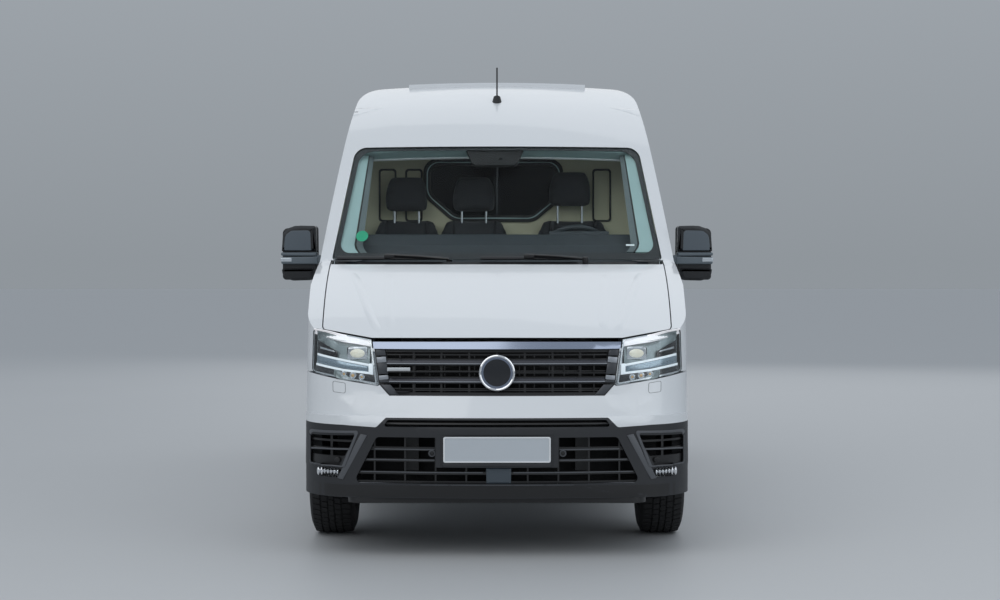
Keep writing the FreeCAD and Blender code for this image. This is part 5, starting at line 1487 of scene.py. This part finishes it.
    def steering(self):
        """The steering wheel: rim, three spokes, hub and column."""
        hub = Vector((0.465, back_of(1.970), 1.510))
        axis = Vector((0, 1, 0.9)).normalized()
        up = Vector((1, 0, 0)).cross(axis)
        if up.z < 0:
            up = -up
        deselect()
        bpy.ops.mesh.primitive_torus_add(major_segments=72, minor_segments=16, major_radius=0.190,
            minor_radius=0.0155, location=hub, rotation=axis.to_track_quat("Z", "Y").to_euler())
        pieces = [freeze(bpy.context.active_object)]
        for side in (1, -1):
            root = hub - axis * 0.020 + Vector((side * 0.060, 0, 0))
            tip = hub + Vector((side * 0.180, 0, 0))
            wide = up * 0.026
            pieces.append(plate([root + wide, root - wide, tip - wide * 0.6, tip + wide * 0.6],
                0.022, 0.006, 3))
        root, tip = hub - axis * 0.020 - up * 0.050, hub - up * 0.182
        wide = Vector((0.030, 0, 0))
        pieces.append(plate([root + wide, tip + wide * 0.7, tip - wide * 0.7, root - wide], 0.020,
            0.006, 3))
        pieces.append(drum(hub - axis * 0.045, hub + axis * 0.002, 0.074, 40, 0.016, 0.066))
        pieces.append(drum(hub - axis * 0.320, hub - axis * 0.040, 0.032, 28, 0.004))
        wheel = finish(merged(pieces), "steering_wheel_skin", "steering_wheel", "dash_plastic",
            40)
        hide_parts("steering_wheel")


class VAN_OT_sides(bpy.types.Operator):
    """Add door handles, window seals, slide rail, side markers and the fuel flap's seam"""
    bl_idname = "van.sides"
    bl_label = "Sides"

    def handle(self, node, hand, y, z, length):
        """A pull handle in front of a shallow dark recess."""
        face = on_side(node, hand, 0.0015)
        recess = patch(oval(y, z, length / 2, 0.032, 15), face, 0.003, 0.001)
        x = face(y, z).x
        ends = [y - length / 2 + 0.012, y + length / 2 - 0.012]
        grip = [box_between((min(x, x + hand * 0.010), ends[0], z - 0.013),
            (max(x, x + hand * 0.010), ends[1], z + 0.013), 0.005, 3)]
        for end in ends:
            grip.append(box_between((x - 0.010, end - 0.012, z - 0.012),
                (x + 0.010, end + 0.012, z + 0.012), 0.005, 2))
        return recess, merged(grip)

    def execute(self, context):
        doors = (("front_door_left", 1, -0.735, 1.215, 0.190), ("front_door_right", -1, -0.735,
            1.215, 0.190), ("sliding_door", -1, -0.470, 1.215, 0.190))
        for node, hand, y, z, length in doors:
            recess, grip = self.handle(node, hand, y, z, length)
            finish(recess, node + "_handle_bowl", BODY_OF[node], "mirror_slate",
                30)
            finish(grip, node + "_handle", BODY_OF[node], "black_plastic", 35)
        for side, hand in (("left", 1), ("right", -1)):
            node = "door_glass_" + side
            low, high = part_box(node)
            face = on_side("front_door_" + side, hand, 0.001)
            long = high[1] - low[1]
            belt = draped([(y, low[2] - 0.016, low[2] + 0.002) for y in steps_between(low[1]
                + 0.06 * long, low[1] + 0.94 * long, 16)], face, 1, 0.005, bevel=0.001)
            finish(belt, f"window_belt_{side}", BODY_OF[node], "rubber_seal", 35)
        rail_face = on_side("side_panel_right", -1, 0.0008)
        rail = draped([(y, 1.226, 1.252) for y in steps_between(0.86, 2.64, 24)], rail_face, 1,
            0.004)
        finish(turn_out(rail), "slide_rail", "van", "gloss_black", 30)
        flap_face = on_side("side_panel_left", 1, 0.0006)
        outer = rounded([(-0.560, 0.935, 0.02), (-0.560, 1.105, 0.02), (-0.400, 1.105, 0.02),
            (-0.400, 0.935, 0.02)], 4, 3)
        finish(ring_between(outer, drawn_in(outer, 0.003), flap_face, 0.001), "fuel_flap_seam",
            "van", "seam_grey", 0)
        markers = []
        for hand in (1, -1):
            for y in (0.15, 1.15, 2.25):
                x = beside("side_mouldings", y, 0.76, hand)
                if x is not None:
                    markers.append(box_between((min(x, x + hand * 0.0006) - 0.003, y - 0.032,
                        0.748), (max(x, x + hand * 0.0006) + 0.003, y + 0.032, 0.772), 0.002, 2))
        finish(merged(markers), "side_markers", "van", "amber_inside", 35)
        return {"FINISHED"}


class VAN_OT_rear(bpy.types.Operator):
    """Add the tail lamps' inner parts, high brake lamp, rear door handle, seals and reflectors"""
    bl_idname = "van.rear"
    bl_label = "Rear"

    def execute(self, context):
        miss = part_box("tail_lamps")[1][1]
        behind = on_face("tail_lamps", -0.0004, way=-1, start=4.0)
        bands = (("tail_indicator", "amber_inside", 1.262, 1.318),
            ("tail_reverse", "lamp_pale", 1.180, 1.240), ("tail_reflex", "red_inside", 0.985,
            1.080))
        for name, finish_name, start, end in bands:
            columns = [(x, start, end) for x in (0.945, 0.957, 0.969, 0.981)]
            piece = draped(columns, lambda x, z: behind(x, z) + Vector((0, -0.0025, 0)), 4, 0.003)
            finish(mirror_x(turn_out(piece)), name, "van", finish_name, 35)
        y = behind_at("rear_frame", 0.0, 2.37, missing=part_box("rear_frame")[1][1])
        lamp = box_between((-0.150, y - 0.012, 2.352), (0.150, min(y + 0.014, BACK - 0.001), 2.384),
            0.006, 3)
        finish(lamp, "high_brake_lamp", "van", "red_inside", 35)
        y = behind_at("rear_door_right", -0.10, 1.10, missing=miss)
        handle = merged([box_between((-0.150, y - 0.006, 1.060), (-0.040, y + 0.006, 1.145), 0.005,
            2), box_between((-0.140, y + 0.004, 1.092), (-0.052, min(y + 0.018, BACK - 0.001),
            1.112), 0.005, 3)])
        finish(handle, "rear_handle", BODY_OF["rear_door_right"], "black_plastic",
            35)

        def seam(z, part):
            return Vector((-0.002 + part * 0.004, behind_at("rear_door_left", 0.02, z,
                missing=miss) - 0.004, z))

        seal = draped([(z, 0.0, 1.0) for z in steps_between(0.680, 2.400, 20)], seam, 1, 0.004)
        finish(seal, "rear_middle_seal", BODY_OF["rear_door_left"], "rubber_seal",
            30)
        reflectors = []
        for hand in (1, -1):
            y = behind_at("rear_bumper", hand * 0.86, 0.53, missing=miss)
            reflectors.append(box_between((hand * 0.86 - 0.055, y - 0.004, 0.515),
                (hand * 0.86 + 0.055, y - 0.0002, 0.548), 0.001, 2))
        finish(merged(reflectors), "rear_reflectors", "van", "red_inside", 35)
        return {"FINISHED"}


# Name, place, aim, size, power, colour
LAMPS = (
    ("key_lamp", (-5.0, -9.0, 8.5), (0, -1, 1.2), 10.0, 330, (1.0, 0.99, 0.97)),
    ("fill_lamp", (6.5, -8.0, 5.0), (0, -1, 1.2), 8.0, 170, (0.93, 0.97, 1.0)),
    ("back_lamp", (2.0, 9.5, 7.5), (0, 2, 1.2), 14.0, 260, (1.0, 1.0, 1.0)),
)
HORIZON = (0.42, 0.46, 0.50, 1)
SKY = (0.80, 0.87, 0.95, 1)
SKY_STRENGTH = 0.66
CAMERA_PLACE = (0.0, -12.393, 1.473)
CAMERA_TURN = (math.radians(90 - 1.24), 0, math.radians(-0.089))
CAMERA_LENS = 69.62


class VAN_OT_stage(bpy.types.Operator):
    """Set the floor, the lamps, the world and the camera"""
    bl_idname = "van.stage"
    bl_label = "Stage"

    def execute(self, context):
        scene = context.scene
        scene.view_settings.view_transform = "Standard"
        deselect()
        bpy.ops.mesh.primitive_plane_add(size=120, location=(0, 20, 0))
        floor = context.active_object
        floor.name = "studio_floor"
        material = finish_material("studio_floor", (0.50, 0.51, 0.52), 0.6, tone=0.05,
            tone_scale=0.6, grain_scale=60, grain=0.6, bump=0.002)
        floor.data.materials.append(material)
        for name, place, aim, size, power, colour in LAMPS:
            deselect()
            bpy.ops.object.light_add(type="AREA", location=place)
            lamp = context.active_object
            lamp.name = name
            lamp.data.shape = "SQUARE"
            lamp.data.size = size
            lamp.data.energy = power
            lamp.data.color = colour
            lamp.rotation_euler = (Vector(aim) - Vector(place)).to_track_quat("-Z", "Y").to_euler()
        world = scene.world or bpy.data.worlds.new("studio")
        scene.world = world
        world.use_nodes = True
        tree = world.node_tree
        tree.nodes.clear()
        output = tree.nodes.new("ShaderNodeOutputWorld")
        light = tree.nodes.new("ShaderNodeBackground")
        place = tree.nodes.new("ShaderNodeTexCoord")
        split = tree.nodes.new("ShaderNodeSeparateXYZ")
        ramp = tree.nodes.new("ShaderNodeValToRGB")
        tree.links.new(place.outputs["Generated"], split.inputs[0])
        tree.links.new(split.outputs["Z"], ramp.inputs["Fac"])
        tree.links.new(ramp.outputs["Color"], light.inputs["Color"])
        tree.links.new(light.outputs["Background"], output.inputs["Surface"])
        for stop, position, colour in zip(ramp.color_ramp.elements, (0.0, 0.6), (HORIZON, SKY)):
            stop.position = position
            stop.color = colour
        light.inputs["Strength"].default_value = SKY_STRENGTH
        deselect()
        bpy.ops.object.camera_add(location=CAMERA_PLACE, rotation=CAMERA_TURN)
        camera = context.active_object
        camera.name = "photo_camera"
        camera.data.lens = CAMERA_LENS
        camera.data.sensor_width = 36
        camera.data.clip_end = 200
        scene.camera = camera
        return {"FINISHED"}


class VAN_PT_panel(bpy.types.Panel):
    """Buttons for each group of the van's pieces"""
    bl_label = "Panel Van"
    bl_idname = "VAN_PT_panel"
    bl_space_type = "VIEW_3D"
    bl_region_type = "UI"
    bl_category = "Van"

    def draw(self, context):
        looks = context.scene.van_looks
        for name in ("paint", "lower_plastic", "cloth", "tread_depth"):
            self.layout.prop(looks, name)
        for step in STEPS:
            self.layout.operator(step.bl_idname)


STEPS = (VAN_OT_finishes, VAN_OT_stage, VAN_OT_panels, VAN_OT_screen, VAN_OT_grille, VAN_OT_lamps,
    VAN_OT_bumper, VAN_OT_mirrors, VAN_OT_creases, VAN_OT_wheels, VAN_OT_seats, VAN_OT_cab,
    VAN_OT_sides, VAN_OT_rear)


def register():
    bpy.utils.register_class(VanLooks)
    for step in STEPS:
        bpy.utils.register_class(step)
    bpy.utils.register_class(VAN_PT_panel)
    bpy.types.Scene.van_looks = PointerProperty(type=VanLooks)


def unregister():
    del bpy.types.Scene.van_looks
    bpy.utils.unregister_class(VAN_PT_panel)
    for step in reversed(STEPS):
        bpy.utils.unregister_class(step)
    bpy.utils.unregister_class(VanLooks)


def main():
    register()
    bpy.ops.van.finishes()
    bpy.ops.van.stage()
    bpy.ops.van.panels()
    bpy.ops.van.screen()
    bpy.ops.van.grille()
    bpy.ops.van.lamps()
    bpy.ops.van.bumper()
    bpy.ops.van.mirrors()
    bpy.ops.van.creases()
    bpy.ops.van.wheels()
    bpy.ops.van.seats()
    bpy.ops.van.cab()
    bpy.ops.van.sides()
    bpy.ops.van.rear()


if __name__ == "__main__":
    main()
